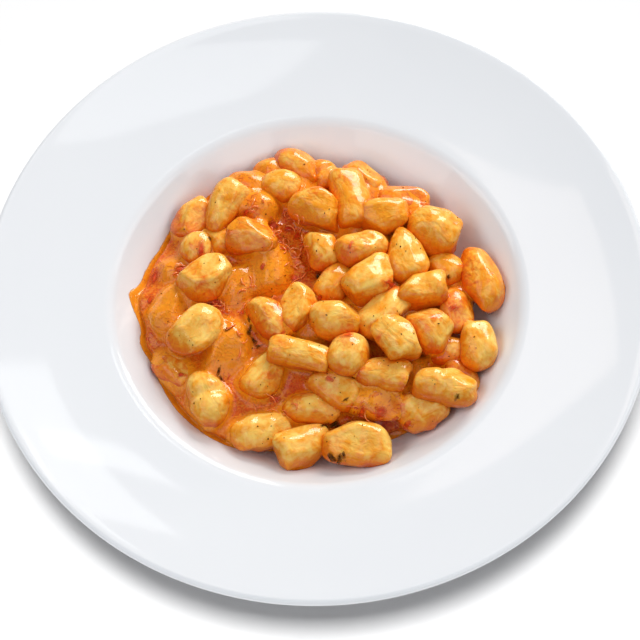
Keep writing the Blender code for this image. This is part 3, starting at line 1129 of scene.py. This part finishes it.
@dataclass
class Sauce:
    """The thick sauce: a pool in the well, and a blanket drawn up over the gnocchi."""

    plate: Plate
    gnocchi: Gnocchi
    high_level: float = 28.6
    low_level: float = 25.6
    slope_start: float = -25.0
    slope_end: float = 35.0
    shore_slope: float = 14.0
    cell: float = 0.98
    floor_under: float = 11.0
    fillet_wet: float = 2.8
    fillet_dry: float = 2.0
    rings: tuple[float, ...] = (0.0, 0.25, 0.5, 0.8, 1.2, 1.7, 2.3, 3.0, 3.8, 4.7, 5.7, 6.8,
                                8.0, 9.5, 11.5, 14.0, 20.0, 28.0, 40.0, 55.0)
    sectors: int = 400
    bed_overlap: float = 0.08
    bed_gap: float = 0.3
    low_corner: Pair = (-84.0, -84.0)
    high_corner: tuple[float, float, float] = (90.0, 88.0, 46.5)
    ripple: float = 0.5
    ripple_size: float = 16.0
    blanket_inset: float = 3.0
    fold_fillet: float = 1.4
    core_height: float = 2.0
    middle_depth: float = 9.0
    beach_radius: float = 81.0
    beach_height: float = 0.5
    bead_rise: float = 0.85
    bead_ease: float = 0.04
    film_thickness: float = 0.75
    least_thickness: float = 0.02
    under_blanket: Pair = (5.0, 9.0)
    down_to_core: Pair = (9.0, 14.0)
    open_shore: float = 4.0

    # Folds where the sauce has slid and set: a radius, and places along the fold.
    folds: tuple[tuple[float, tuple[tuple[float, float, float], ...]], ...] = (
        (0.9, ((-43, -8, 32.5), (-39, -11, 33.0), (-37, -16, 34.0), (-35, -21, 33.0), (-32, -24, 31.0))),
        (0.6, ((-17, 30, 31.5), (-13, 29, 29.5), (-10, 27, 28.8), (-8, 23, 28.4), (-5, 19, 28.4))),
        (0.6, ((-18, 43, 30.0), (-16, 40, 29.0), (-17, 36, 29.2), (-14, 33, 29.0))),
        (0.7, ((-36, 40, 31.5), (-30, 42, 31.0), (-24, 42, 30.5), (-19, 45, 30.0))),
        (0.6, ((-58, 4, 31.0), (-52, -1, 31.0), (-46, -3, 30.5), (-40, -3, 30.0))),
    )

    # Where the sauce ends on the plate: bearing from east, in degrees, and radius.
    shore: tuple[Pair, ...] = (
        (0, 71.5), (30, 71.0), (60, 71.5), (85, 73.5), (105, 77.0), (120, 79.5), (140, 80.6),
        (155, 80.4), (163, 81.8), (169, 82.6), (172, 84.6), (174, 87.0), (176, 86.0), (179, 84.0),
        (182, 82.0), (186, 81.0), (189, 82.6), (192, 82.4), (196, 80.2), (205, 80.0), (218, 80.8),
        (230, 80.0), (238, 78.0), (245, 73.5), (252, 70.0), (270, 69.0), (292, 69.3), (305, 71.5),
        (320, 74.0), (338, 73.0), (360, 71.5))

    def shore_radius(self, bearing: Grid) -> Grid:
        """Radius of the sauce's edge at each bearing in degrees."""
        bearings, radii = np.array(self.shore).T
        fine = np.arange(0, 360, 1.0)
        drawn = np.interp(fine, bearings, radii)
        window = np.hanning(7) / np.hanning(7).sum()
        eased = np.convolve(np.concatenate([drawn[-3:], drawn, drawn[:3]]), window, "valid")
        return np.interp(bearing % 360, np.append(fine, 360.0), np.append(eased, eased[0]))

    def inland(self, east: Grid, north: Grid) -> Grid:
        """How far in from the shore each place is."""
        return self.shore_radius(np.degrees(np.arctan2(north, east))) - np.hypot(east, north)

    def level(self, east: Grid, north: Grid) -> Grid:
        """Height of the sauce away from any gnocco."""
        edge = self.shore_radius(np.degrees(np.arctan2(north, east)))
        inland = np.clip(edge - np.hypot(east, north), 0, None)
        fall = smooth_step(self.slope_start, self.slope_end, east)
        crest = self.high_level + (self.low_level - self.high_level) * fall
        beach = np.minimum(self.plate.wall_height(np.minimum(edge, self.beach_radius)), crest)
        beach = beach + self.beach_height
        return beach + (crest - beach) * (1 - np.exp(-inland / self.shore_slope))

    def fill(self) -> Lattice:
        """Work out the blanket of sauce over the whole heap."""
        lattice = Lattice((*self.low_corner, self.floor_under - 1), self.high_corner, self.cell)
        everywhere = (slice(None),) * 3
        points = lattice.points(everywhere)
        flat = points.reshape(*lattice.field.shape, 3)[:, :, 0]
        east, north = flat[..., 0].ravel(), flat[..., 1].ravel()
        ripples = Waves.drawn(7, self.ripple_size).at(flat.reshape(-1, 3) * (1, 1, 0))
        pool = (self.level(east, north) + self.ripple * ripples).reshape(flat.shape[:2])
        landward = (self.blanket_inset - self.inland(east, north)).reshape(pool.shape)
        heights = lattice.low[2] + np.arange(lattice.field.shape[2]) * lattice.cell
        lattice.field = np.maximum(heights[None, None, :] - pool[:, :, None], landward[:, :, None])
        for body in self.gnocchi.bodies:
            window = lattice.window(body.gnocco.middle, float(body.gnocco.halves.max()) + 5)
            near = lattice.points(window)
            shape = lattice.field[window].shape
            above = near[:, 2] - self.level(near[:, 0], near[:, 1])
            wet = smooth_step(self.slope_end, self.slope_start, near[:, 0])
            width = (self.fillet_dry + (self.fillet_wet - self.fillet_dry) * wet).reshape(shape)
            gap = (body.distance(near) - body.film(near, above)).reshape(shape)
            lattice.field[window] = soft_min(lattice.field[window], gap, width)
        for radius, places in self.folds:
            self._add_fold(lattice, radius, np.array(places))
        bed = self.plate.wall_height(np.hypot(east, north)).reshape(pool.shape) + self.bed_gap
        bottom = np.maximum(bed, self.floor_under)[:, :, None] - heights[None, None, :]
        lattice.field = np.maximum(lattice.field, bottom)
        for side in range(3):
            for end in (0, -1):
                lattice.field[tuple(end if axis == side else slice(None) for axis in range(3))] = 1.0
        return lattice

    def _add_fold(self, lattice: Lattice, radius: float, places: Grid) -> None:
        """Raise one rounded fold along its places."""
        for start, end in zip(places, places[1:]):
            window = lattice.window((start + end) / 2, float(np.linalg.norm(end - start)) / 2 + radius + 3)
            near = lattice.points(window)
            run = end - start
            share = np.clip((near - start) @ run / (run @ run), 0, 1)
            gap = np.linalg.norm(near - start - share[:, None] * run, axis=1) - radius
            shape = lattice.field[window].shape
            lattice.field[window] = soft_min(lattice.field[window], gap.reshape(shape), self.fold_fillet)

    def thickness(self, points: Grid, bed_gap: Grid) -> Grid:
        """How deep the sauce is under each point of its skin."""
        return np.minimum(np.clip(self.gnocchi.nearest(points), 0, None), bed_gap)

    def build(self) -> bpy.types.Object:
        """Make the sauce: the blanket's skin, and the pool's body out to the shore."""
        lattice = self.fill()
        skin, skin_faces = lattice.skin()
        skin = relaxed(skin, skin_faces, 2)
        skin_bed = self.plate.wall_height(np.hypot(skin[:, 0], skin[:, 1]))
        pool, pool_faces, pool_depth = self.pool(lattice)
        points = np.concatenate([skin, pool])
        faces = skin_faces.tolist() + [tuple(corner + len(skin) for corner in face) for face in pool_faces]
        piece = make_piece("tomato_cream_sauce", points, faces)
        depth = self.thickness(skin, np.clip(skin[:, 2] - skin_bed, 0, None))
        paint(piece, "depth", np.concatenate([depth, pool_depth]))
        paint(piece, "body", smooth_step(0.0, 1.6, self.inland(points[:, 0], points[:, 1])))
        paint(piece, "stain", stained(points))
        self._plain_bottom(piece)
        dress(piece, TomatoCream().make(), "sauce", "sauce")
        return piece

    def _plain_bottom(self, piece: bpy.types.Object) -> None:
        """Make the blanket's hidden flat bottom one face."""
        work = bmesh.new()
        work.from_mesh(piece.data)
        height = (self.floor_under + 0.05) * MM
        flat = [face for face in work.faces if face.normal.z < -0.99 and face.calc_center_median().z < height
                and face.calc_center_median().z > (self.floor_under - 0.3) * MM]
        bmesh.ops.dissolve_faces(work, faces=flat, use_verts=True)
        work.to_mesh(piece.data)
        work.free()

    def pool(self, lattice: Lattice) -> tuple[Grid, list[tuple[int, ...]], Grid]:
        """The pool's closed body, from the plate up to just under the blanket.

        Args:
            lattice: The blanket.

        Returns:
            Points, faces, and the sauce's depth at each point.
        """
        bearings = np.linspace(0, 360, self.sectors, endpoint=False)
        edge = self.shore_radius(bearings)
        inland = np.array(self.rings[::-1])[:, None] + 0.0 * edge[None, :]
        radius = edge[None, :] - inland
        turn = np.radians(bearings)[None, :]
        east, north = radius * np.cos(turn), radius * np.sin(turn)
        bed = self.plate.wall_height(radius)
        bead = self.bead_rise * inland / (1 + self.bead_ease * inland)
        flat = np.stack([east.ravel(), north.ravel(), np.zeros(east.size)], axis=1)
        free = self.tops_at(lattice, east, north)
        free = np.where(inland < self.open_shore, np.minimum(free, self.level(east, north)), free)
        unevenness = (lumps(flat, 5.5, 3) * 0.2).reshape(free.shape)
        free += 0.06 - 0.45 * smooth_step(*self.under_blanket, inland) + unevenness
        free += (self.floor_under + self.core_height - free) * smooth_step(*self.down_to_core, inland)
        film = self.film_thickness * (1 - np.exp(-inland))
        thickness = soft_min(np.maximum(free - bed, film), bead, 1.0)
        thickness = np.clip(thickness, self.least_thickness, None)
        thickness[-1] = 0.0
        top = np.stack([east, north, bed + thickness], axis=-1).reshape(-1, 3)
        under = np.stack([east[:-1], north[:-1], bed[:-1] - self.bed_overlap], axis=-1).reshape(-1, 3)
        middle = [[0, 0, float(top[:self.sectors, 2].mean())],
                  [0, 0, self.plate.floor_height - self.bed_overlap]]
        points = np.concatenate([top, under, middle])
        depth = self.thickness(top, thickness.ravel())
        depths = np.concatenate([depth, depth[:len(under)], [self.middle_depth] * 2])
        return points, self._faces(len(top), len(points)), depths

    @staticmethod
    def tops_at(lattice: Lattice, east: Grid, north: Grid) -> Grid:
        """Height of the blanket over each place."""
        tops = lattice.tops()
        across = np.clip((east - lattice.low[0]) / lattice.cell, 0, tops.shape[0] - 1.001)
        along = np.clip((north - lattice.low[1]) / lattice.cell, 0, tops.shape[1] - 1.001)
        row, column = across.astype(int), along.astype(int)
        right, ahead = across - row, along - column
        near = tops[row, column] * (1 - right) + tops[row + 1, column] * right
        far = tops[row, column + 1] * (1 - right) + tops[row + 1, column + 1] * right
        return near * (1 - ahead) + far * ahead

    def _faces(self, top_count: int, point_count: int) -> list[tuple[int, ...]]:
        """Faces of the top, the underside and the two middles."""
        sectors, rings = self.sectors, len(self.rings)
        faces = []
        for side in range(sectors):
            after = (side + 1) % sectors
            for ring in range(rings - 1):
                low, high = ring * sectors, (ring + 1) * sectors
                faces.append((low + side, high + side, high + after, low + after))
            for ring in range(rings - 2):
                low, high = top_count + ring * sectors, top_count + (ring + 1) * sectors
                faces.append((low + after, high + after, high + side, low + side))
            inner, outer = top_count + (rings - 2) * sectors, (rings - 1) * sectors
            faces.append((inner + after, outer + after, outer + side, inner + side))
            faces.append((point_count - 2, side, after))
            faces.append((point_count - 1, top_count + after, top_count + side))
        return faces


# --------------------------------------------------------------------------
# What lies on the food
# --------------------------------------------------------------------------

class FoodTop:
    """The top of the food and the plate, felt from straight above."""

    ABOVE_ALL = 80.0

    def __init__(self, plate: Plate, pieces: Sequence[bpy.types.Object]) -> None:
        """Take in the plate and the pieces that make up the food."""
        self.plate = plate
        points, faces = [], []
        for piece in pieces:
            first = len(points)
            points += [vert.co / MM for vert in piece.data.vertices]
            faces += [tuple(corner + first for corner in face.vertices) for face in piece.data.polygons]
        self.tree = BVHTree.FromPolygons(points, faces)

    def height(self, east: float, north: float) -> float:
        """Height of the food at a place."""
        touched = self.tree.ray_cast(Vector((east, north, self.ABOVE_ALL)), Vector((0.0, 0.0, -1.0)))[0]
        wall = float(self.plate.wall_height(math.hypot(east, north)))
        return max(touched.z, wall) if touched else wall


@dataclass(frozen=True)
class Morsel:
    """A soft scrap draped over the food, in millimetres and degrees from east."""

    east: float
    north: float
    heading: float
    length: float
    width: float
    thickness: float

    def shaped(self, ball: Grid, number: int, ragged: float) -> Grid:
        """Its points while it still lies flat, the middle at the origin."""
        wobble = Waves.drawn(5000 + number, 1.1, 7).at(ball)
        flat = ball * (self.length / 2, self.width / 2, self.thickness / 2) * (1 + ragged * wobble)[:, None]
        flat[:, 2] += 0.25 * ragged * self.thickness * Waves.drawn(6000 + number, 1.6, 5).at(ball * (1, 1, 0))
        turn = math.radians(self.heading)
        along, across = flat[:, 0].copy(), flat[:, 1].copy()
        flat[:, 0] = along * math.cos(turn) - across * math.sin(turn)
        flat[:, 1] = along * math.sin(turn) + across * math.cos(turn)
        return flat


@dataclass
class Scraps:
    """Scraps of one kind, made as one piece."""

    name: str
    morsels: Sequence[Morsel]
    finish: Scrap
    ragged: float = 0.3
    sunk: float = 0.1
    cells: int = 6
    drop: float = 2.5

    def build(self, top: FoodTop) -> bpy.types.Object:
        """Shape each scrap and drape it over the food."""
        ball, cells = Gnocchi.ball(self.cells)
        points, faces, edge = [], [], []
        for number, morsel in enumerate(self.morsels):
            laid = morsel.shaped(ball, number, self.ragged) + (morsel.east, morsel.north, 0.0)
            under = np.array([top.height(east, north) for east, north in laid[:, :2]])
            middle = top.height(morsel.east, morsel.north)
            resting = np.clip(under, middle - self.drop, middle + self.drop)
            laid[:, 2] += resting + morsel.thickness * self.sunk
            faces += [tuple(corner + len(points) * len(ball) for corner in cell) for cell in cells]
            points.append(laid)
            edge.append(1 - np.hypot(ball[:, 0], ball[:, 1]))
        piece = make_piece(self.name, np.concatenate(points), faces)
        paint(piece, "edge", np.concatenate(edge))
        dress(piece, self.finish.make(), "sauce")
        return piece


TOMATO_SCRAPS = (
    Morsel(-74, 18, 78, 8, 4, 0.8), Morsel(-52, 27, 84, 9, 3.5, 0.8), Morsel(-61, 19, 20, 7, 5, 1.0),
    Morsel(-46, 1, 10, 6, 4, 0.9), Morsel(-34, -4, 70, 4, 3, 0.8), Morsel(-31, 45, 20, 5, 3, 0.8),
    Morsel(-19, 41, 30, 6, 4, 1.0), Morsel(-24, 16, 80, 4, 3, 0.7), Morsel(-10, 13, 60, 6, 5, 1.0),
    Morsel(1, 0, 40, 4, 3, 0.9), Morsel(33, 2, 15, 6, 3, 1.0), Morsel(25, -29, 120, 5, 3, 0.8),
    Morsel(26, -57, 60, 7, 5, 0.9), Morsel(13, -23, 10, 7, 3, 1.0), Morsel(18, -56, 40, 5, 4, 0.8),
    Morsel(16, 21, 75, 6, 3, 0.7), Morsel(-14, 27, 30, 6, 4, 1.0), Morsel(-8, 36, 70, 7, 4, 1.0),
    Morsel(-12, 40, 10, 6, 4, 1.0), Morsel(-76, 6, 80, 6, 3, 0.8), Morsel(-20, -46, 15, 6, 4, 0.8),
    Morsel(4, -41, 150, 5, 3, 0.7), Morsel(38, -62, 20, 5, 3, 0.8), Morsel(-62, -34, 40, 5, 3, 0.7),
    Morsel(-58, -2, 30, 5, 3, 0.7), Morsel(61, -9, 30, 5, 3, 0.6),
)
HERB_SCRAPS = (
    Morsel(-31, -9, 100, 4, 1.4, 0.7), Morsel(-31, -14, 75, 5, 1.8, 0.8), Morsel(-29, -18, 110, 5, 2.2, 0.9),
    Morsel(-27, -21, 20, 4, 1.6, 0.8), Morsel(-45, -33, 70, 4.5, 1.4, 0.7),
    Morsel(-44, -36, 140, 4, 1.4, 0.7),
    Morsel(-41, -15, 30, 3, 2.0, 0.6), Morsel(4, -77, 150, 5, 2.4, 0.8), Morsel(7, -78, 40, 4, 2.2, 0.8),
    Morsel(9, -77, 100, 4, 1.8, 0.7), Morsel(11, -51, 30, 3.4, 1.4, 0.6), Morsel(60, -54, 60, 2.6, 2.0, 0.7),
    Morsel(60, 8, 0, 2.0, 1.7, 0.6), Morsel(6, -58, 20, 7, 2.2, 1.0), Morsel(14, -57, 170, 6, 2.2, 1.0),
    Morsel(1, -60, 35, 5, 2, 0.9), Morsel(1, 14, 0, 2.6, 2.2, 0.7), Morsel(-48, 33, 120, 2.6, 1.2, 0.5),
)


@dataclass(frozen=True)
class PulpPatch:
    """A place where torn tomato flesh lies in strands: middle, size, and how many."""

    east: float
    north: float
    wide: float
    deep: float
    count: int


@dataclass
class Pulp:
    """Fine strands of tomato flesh."""

    sides: int = 6
    joints: int = 9
    seed: int = 77
    curl: float = 0.35
    lengths: Pair = (3.0, 8.0)
    radii: Pair = (0.22, 0.5)
    drop: float = 1.2
    lift: float = 0.15
    arch: float = 0.5
    patches: tuple[PulpPatch, ...] = (
        PulpPatch(-12, 36, 18, 20, 26), PulpPatch(-9, 20, 12, 16, 12), PulpPatch(-42, 0, 16, 6, 6),
        PulpPatch(-28, 46, 12, 8, 8), PulpPatch(-22, -50, 26, 10, 7), PulpPatch(-62, 18, 10, 6, 5),
        PulpPatch(-38, -20, 8, 12, 5), PulpPatch(-26, 4, 14, 10, 8), PulpPatch(14, -56, 18, 6, 5))

    def strand(self, chance: np.random.Generator, patch: PulpPatch, top: FoodTop) -> Grid:
        """Points of one strand, ring by ring, with a point at each end."""
        east = patch.east + chance.uniform(-0.5, 0.5) * patch.wide
        north = patch.north + chance.uniform(-0.5, 0.5) * patch.deep
        heading, curl = chance.uniform(0, 2 * math.pi), chance.uniform(-self.curl, self.curl)
        step = chance.uniform(*self.lengths) / self.joints
        thick = chance.uniform(*self.radii)
        start = top.height(east, north)
        rings = []
        for joint in range(self.joints):
            share = joint / (self.joints - 1)
            height = min(max(top.height(east, north), start - self.drop), start + self.drop)
            height += self.lift + self.arch * math.sin(share * 3.1)
            radius = thick * math.sqrt(max(0.04, 1 - (2 * share - 1) ** 2))
            side = (-math.sin(heading), math.cos(heading))
            for turn in np.linspace(0, 2 * math.pi, self.sides, endpoint=False):
                out, up = radius * math.cos(turn), radius * math.sin(turn)
                rings.append((east + side[0] * out, north + side[1] * out, height + up))
            heading += curl
            east, north = east + step * math.cos(heading), north + step * math.sin(heading)
        rings = np.array(rings)
        ends = (rings[:self.sides].mean(axis=0), rings[-self.sides:].mean(axis=0))
        return np.concatenate([rings, ends])

    def strand_faces(self) -> list[tuple[int, ...]]:
        """Faces of one strand."""
        sides, last = self.sides, (self.joints - 1) * self.sides
        faces = [(joint * sides + side, joint * sides + (side + 1) % sides,
                  (joint + 1) * sides + (side + 1) % sides, (joint + 1) * sides + side)
                 for joint in range(self.joints - 1) for side in range(sides)]
        near, far = last + sides, last + sides + 1
        faces += [(near, (side + 1) % sides, side) for side in range(sides)]
        return faces + [(far, last + side, last + (side + 1) % sides) for side in range(sides)]

    def build(self, top: FoodTop) -> bpy.types.Object:
        """Lay all the strands."""
        chance = np.random.default_rng(self.seed)
        strands = [self.strand(chance, patch, top) for patch in self.patches for _ in range(patch.count)]
        cells, size = self.strand_faces(), len(strands[0])
        faces = [tuple(corner + size * number for corner in cell)
                 for number in range(len(strands)) for cell in cells]
        piece = make_piece("tomato_pulp", np.concatenate(strands), faces)
        dress(piece, PULP.make(), "sauce")
        return piece


class Nodes:
    """A geometry node tree, and the shorthand that wires it up."""

    def __init__(self, name: str) -> None:
        """Start a tree that takes a mesh in and gives a mesh out."""
        self.tree = bpy.data.node_groups.new(name, "GeometryNodeTree")
        self.sizes: dict[str, float] = {}
        self.tree.interface.new_socket("Geometry", in_out="INPUT", socket_type="NodeSocketGeometry")
        self.tree.interface.new_socket("Geometry", in_out="OUTPUT", socket_type="NodeSocketGeometry")
        self.entry = self.tree.nodes.new("NodeGroupInput")
        self.exit = self.tree.nodes.new("NodeGroupOutput")

    def size(self, name: str, value: float) -> bpy.types.NodeSocket:
        """Add a named input for a size, and return where it comes out."""
        self.tree.interface.new_socket(name, in_out="INPUT", socket_type="NodeSocketFloat")
        self.sizes[name] = value
        return self.entry.outputs[name]

    def node(self, kind: str, settings: dict[str, object], **entries: object) -> bpy.types.Node:
        """Add a node; entries are its inputs by name, with _ for a space."""
        made = self.tree.nodes.new(kind)
        for name, value in settings.items():
            setattr(made, name, value)
        for name, value in entries.items():
            entry = next(each for each in made.inputs if each.enabled and each.name == name.replace("_", " "))
            if isinstance(value, bpy.types.NodeSocket):
                self.tree.links.new(value, entry)
            else:
                entry.default_value = value
        return made

    def grow(self, name: str, places: Grid) -> bpy.types.Object:
        """Run the tree on loose points and keep what it makes as a plain mesh."""
        piece = make_piece(name, places, [])
        modifier = piece.modifiers.new("scatter", "NODES")
        modifier.node_group = self.tree
        for socket in self.tree.interface.items_tree:
            if socket.name in self.sizes:
                modifier[socket.identifier] = self.sizes[socket.name]
        seen = piece.evaluated_get(bpy.context.evaluated_depsgraph_get())
        grown = bpy.data.meshes.new_from_object(seen)
        piece.modifiers.remove(modifier)
        piece.data = grown
        return piece


@dataclass
class Pepper:
    """Coarse black pepper, scattered over the food."""

    smallest: float = 0.35
    largest: float = 0.95
    strays: int = 120
    spread: float = 76.0
    lift: float = 0.1
    seed: int = 12

    # Places of the specks that stand out, east and north.
    marked: tuple[Pair, ...] = (
        (-45, -29), (-42, -35), (-5, -51), (-16, -53), (-22, -55), (-22, -4), (-27, 11), (-14, 12), (-38, 26),
        (-24, 24), (-31, 48), (-22, 44), (5, 39), (-62, -19), (-56, -24), (-56, -10), (-53, -49), (57, -27),
        (58, -30), (67, -28), (43, -56), (49, -61), (2, -70), (25, -14), (31, -20), (14, 1), (-45, 49),
        (-54, 27), (41, 18), (37, 22), (15, -29))

    def places(self, top: FoodTop) -> Grid:
        """Where each speck lies on the food."""
        chance = np.random.default_rng(self.seed)
        turn = chance.uniform(0, 2 * math.pi, self.strays)
        away = self.spread * np.sqrt(chance.uniform(0, 1, self.strays))
        strays = np.stack([away * np.cos(turn), away * np.sin(turn)], axis=1)
        flat = np.concatenate([np.array(self.marked, dtype=float), strays])
        return np.array([(east, north, top.height(east, north) + self.lift) for east, north in flat])

    def build(self, top: FoodTop) -> bpy.types.Object:
        """Grow a cracked corn of pepper at every place."""
        nodes = Nodes("pepper_scatter")
        smallest = nodes.size("Smallest", self.smallest * MM)
        largest = nodes.size("Largest", self.largest * MM)
        corn = nodes.node("GeometryNodeMeshIcoSphere", {}, Radius=0.5, Subdivisions=1)
        sizes = nodes.node("FunctionNodeRandomValue", {"data_type": "FLOAT"}, Min=smallest, Max=largest,
                           Seed=self.seed)
        turns = nodes.node("FunctionNodeRandomValue", {"data_type": "FLOAT_VECTOR"}, Max=(6.28, 6.28, 6.28),
                           Seed=self.seed + 1)
        flatness = nodes.node("FunctionNodeRandomValue", {"data_type": "FLOAT_VECTOR"}, Min=(0.8, 0.5, 0.5),
                              Max=(1.5, 1.0, 0.8), Seed=self.seed + 2)
        scale = nodes.node("ShaderNodeVectorMath", {"operation": "SCALE"}, Vector=flatness.outputs[0],
                           Scale=sizes.outputs[1])
        scattered = nodes.node("GeometryNodeInstanceOnPoints", {}, Points=nodes.entry.outputs["Geometry"],
                               Instance=corn.outputs["Mesh"], Rotation=turns.outputs[0],
                               Scale=scale.outputs[0])
        real = nodes.node("GeometryNodeRealizeInstances", {}, Geometry=scattered.outputs[0])
        coloured = nodes.node("GeometryNodeSetMaterial", {}, Geometry=real.outputs[0], Material=PEPPER.make())
        nodes.tree.links.new(coloured.outputs[0], nodes.exit.inputs["Geometry"])
        piece = nodes.grow("cracked_pepper", self.places(top))
        dress(piece, piece.data.materials[0], "sauce")
        return piece


# --------------------------------------------------------------------------
# The studio
# --------------------------------------------------------------------------

class Lit(Flag):
    """What a lamp lights."""

    TABLE = auto()
    PLATE = auto()
    FOOD = auto()


@dataclass(frozen=True)
class Lamp:
    """A soft rectangular light, placed by where it stands in the sky over the plate.

    Bearings run from north towards east. Angles are in degrees, and brightness
    is against a white wall in full light.
    """

    name: str
    bearing: float
    elevation: float
    wide: float
    tall: float
    brightness: float
    colour: Colour = (1.0, 1.0, 1.0)
    lights: Lit = Lit.PLATE
    roll: float = 0.0
    distance: float = 2000.0

    def _side(self, angle: float) -> float:
        """Length in metres of a side that spans an angle seen from the plate."""
        return 2 * self.distance * MM * math.tan(math.radians(angle / 2))

    def make(self) -> bpy.types.Object:
        """Make the light, facing the plate."""
        turn, lift = math.radians(self.bearing), math.radians(self.elevation)
        away = Vector((math.sin(turn) * math.cos(lift), math.cos(turn) * math.cos(lift), math.sin(lift)))
        right = Vector((math.cos(turn), -math.sin(turn), 0.0))
        facing = Matrix((right, away.cross(right), away)).transposed().to_4x4()
        facing @= Matrix.Rotation(math.radians(self.roll), 4, "Z")
        lamp = bpy.data.lights.new(self.name, "AREA")
        lamp.shape = "RECTANGLE"
        lamp.size, lamp.size_y = self._side(self.wide), self._side(self.tall)
        lamp.energy = self.brightness * lamp.size * lamp.size_y * math.pi
        lamp.color = self.colour
        light = bpy.data.objects.new(self.name, lamp)
        light.matrix_world = Matrix.Translation(away * self.distance * MM) @ facing
        bpy.context.scene.collection.objects.link(light)
        return light


@dataclass
class Studio:
    """A white table, a bright room, a window beyond the plate, and the camera."""

    camera_distance: float = 1000.0
    camera_elevation: float = 62.7
    camera_roll: float = 2.2
    lens: float = 126.06
    aim: tuple[float, float, float] = (1.0, -14.6, 40.0)
    room_brightness: float = 0.19
    room_colour: Colour = (0.98, 0.985, 1.0)
    table_white: Colour = linear(232, 232, 232)
    table_cloud: Colour = linear(228, 228, 229)
    table_reach: float = 3000.0
    table_gap: float = 0.05
    sensor_width: float = 36.0
    lamps: tuple[Lamp, ...] = (
        Lamp("window_upper_pane", 8.0, 56.6, 5.6, 1.1, 5.5, roll=32.0),
        Lamp("window_middle_pane", 16.0, 53.6, 11.0, 7.6, 4.4, roll=32.0),
        Lamp("window_bright_pane", 24.0, 20.0, 34.0, 26.0, 7.3, (1.0, 0.97, 0.93)),
        Lamp("skylight", 14.0, 71.5, 8.5, 6.0, 3.0),
        Lamp("warm_wall", -8.0, 61.5, 7.0, 8.0, 3.6, (1.0, 0.84, 0.74)),
        Lamp("ceiling", 70.0, 62.0, 70.0, 50.0, 0.25),
        Lamp("room_right", 85.0, 40.0, 34.0, 26.0, 2.5, (0.9, 0.96, 1.0)),
        Lamp("room_left", 275.0, 46.0, 30.0, 24.0, 3.5, (0.94, 0.98, 1.0)),
        Lamp("room_behind_right", 140.0, 36.0, 36.0, 26.0, 2.3, (0.96, 0.99, 1.0)),
        Lamp("room_behind_left", 225.0, 36.0, 40.0, 30.0, 1.9, (0.94, 0.98, 1.0)),
        Lamp("window_on_food", 24.0, 28.0, 34.0, 28.0, 12.0, (1.0, 0.95, 0.90), Lit.FOOD),
        Lamp("room_behind_food", 195.0, 52.0, 50.0, 40.0, 1.1, (1.0, 0.94, 0.86), Lit.FOOD),
        Lamp("ceiling_right_of_food", 80.0, 62.0, 40.0, 34.0, 1.0, (1.0, 0.97, 0.93), Lit.FOOD),
        Lamp("ceiling_left_of_food", 285.0, 62.0, 34.0, 30.0, 1.5, (1.0, 0.97, 0.93), Lit.FOOD),
        Lamp("ceiling_over_table", 182.0, 81.0, 16.0, 16.0, 46.0, lights=Lit.TABLE, distance=2200.0),
    )

    def add_floor(self) -> bpy.types.Object:
        """The table top."""
        corners = [(east * self.table_reach, north * self.table_reach, -self.table_gap)
                   for east, north in ((-1, -1), (1, -1), (1, 1), (-1, 1))]
        floor = make_piece("table_top", np.array(corners), [(0, 1, 2, 3)])
        finish = Finish("white_table")
        cloud = finish.grain(400.0, 1.0)
        finish.constants(Base_Color=finish.blend(cloud * 0.1, self.table_white, self.table_cloud),
                         Roughness=0.9, Specular_IOR_Level=0.2)
        floor.data.materials.append(finish.material)
        return floor

    def add_room(self) -> None:
        """Even white light from all round."""
        world = bpy.data.worlds.new("white_room")
        world.use_nodes = True
        sky = world.node_tree.nodes["Background"]
        sky.inputs["Color"].default_value = (*self.room_colour, 1.0)
        sky.inputs["Strength"].default_value = self.room_brightness
        bpy.context.scene.world = world

    def add_lamps(self, lit: dict[Lit, Sequence[bpy.types.Object]]) -> None:
        """Add the lights, each for what it lights."""
        for lamp in self.lamps:
            receivers = bpy.data.collections.new(lamp.name + "_lights")
            for part in lamp.lights:
                for thing in lit[part]:
                    receivers.objects.link(thing)
            lamp.make().light_linking.receiver_collection = receivers

    def add_camera(self) -> None:
        """The camera, looking down at the plate from the diner's side."""
        lift, roll = math.radians(self.camera_elevation), math.radians(self.camera_roll)
        back = Vector((0.0, -math.cos(lift), math.sin(lift)))
        right, up = Vector((1.0, 0.0, 0.0)), Vector((0.0, math.sin(lift), math.cos(lift)))
        rolled_right = right * math.cos(roll) - up * math.sin(roll)
        rolled_up = right * math.sin(roll) + up * math.cos(roll)
        turned = Matrix((rolled_right, rolled_up, back)).transposed().to_4x4()
        place = Matrix.Translation((Vector(self.aim) + back * self.camera_distance) * MM)
        lens = bpy.data.cameras.new("camera")
        lens.lens = self.lens
        lens.sensor_width = self.sensor_width
        camera = bpy.data.objects.new("camera", lens)
        camera.matrix_world = place @ turned
        bpy.context.scene.collection.objects.link(camera)
        bpy.context.scene.camera = camera

    def build(self, plate: bpy.types.Object, food: Sequence[bpy.types.Object]) -> None:
        """Set up everything that isn't the dish."""
        bpy.context.scene.view_settings.view_transform = "Standard"
        self.add_room()
        self.add_lamps({Lit.TABLE: [self.add_floor()], Lit.PLATE: [plate], Lit.FOOD: food})
        self.add_camera()


def main() -> None:
    """Build the dish and its surroundings."""
    logging.basicConfig(level=logging.INFO, format="%(name)s %(message)s")
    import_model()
    plate = Plate()
    gnocchi = Gnocchi()
    sauce = Sauce(plate, gnocchi)
    food = [sauce.build(), gnocchi.build(sauce)]
    top = FoodTop(plate, food)
    food.append(Scraps("tomato_scraps", TOMATO_SCRAPS, TOMATO).build(top))
    food.append(Scraps("herb_leaves", HERB_SCRAPS, HERB, ragged=0.45, sunk=0.3).build(top))
    food.append(Pulp().build(top))
    food.append(Pepper().build(top))
    Studio().build(plate.build(), food)


if __name__ == "__main__":
    main()
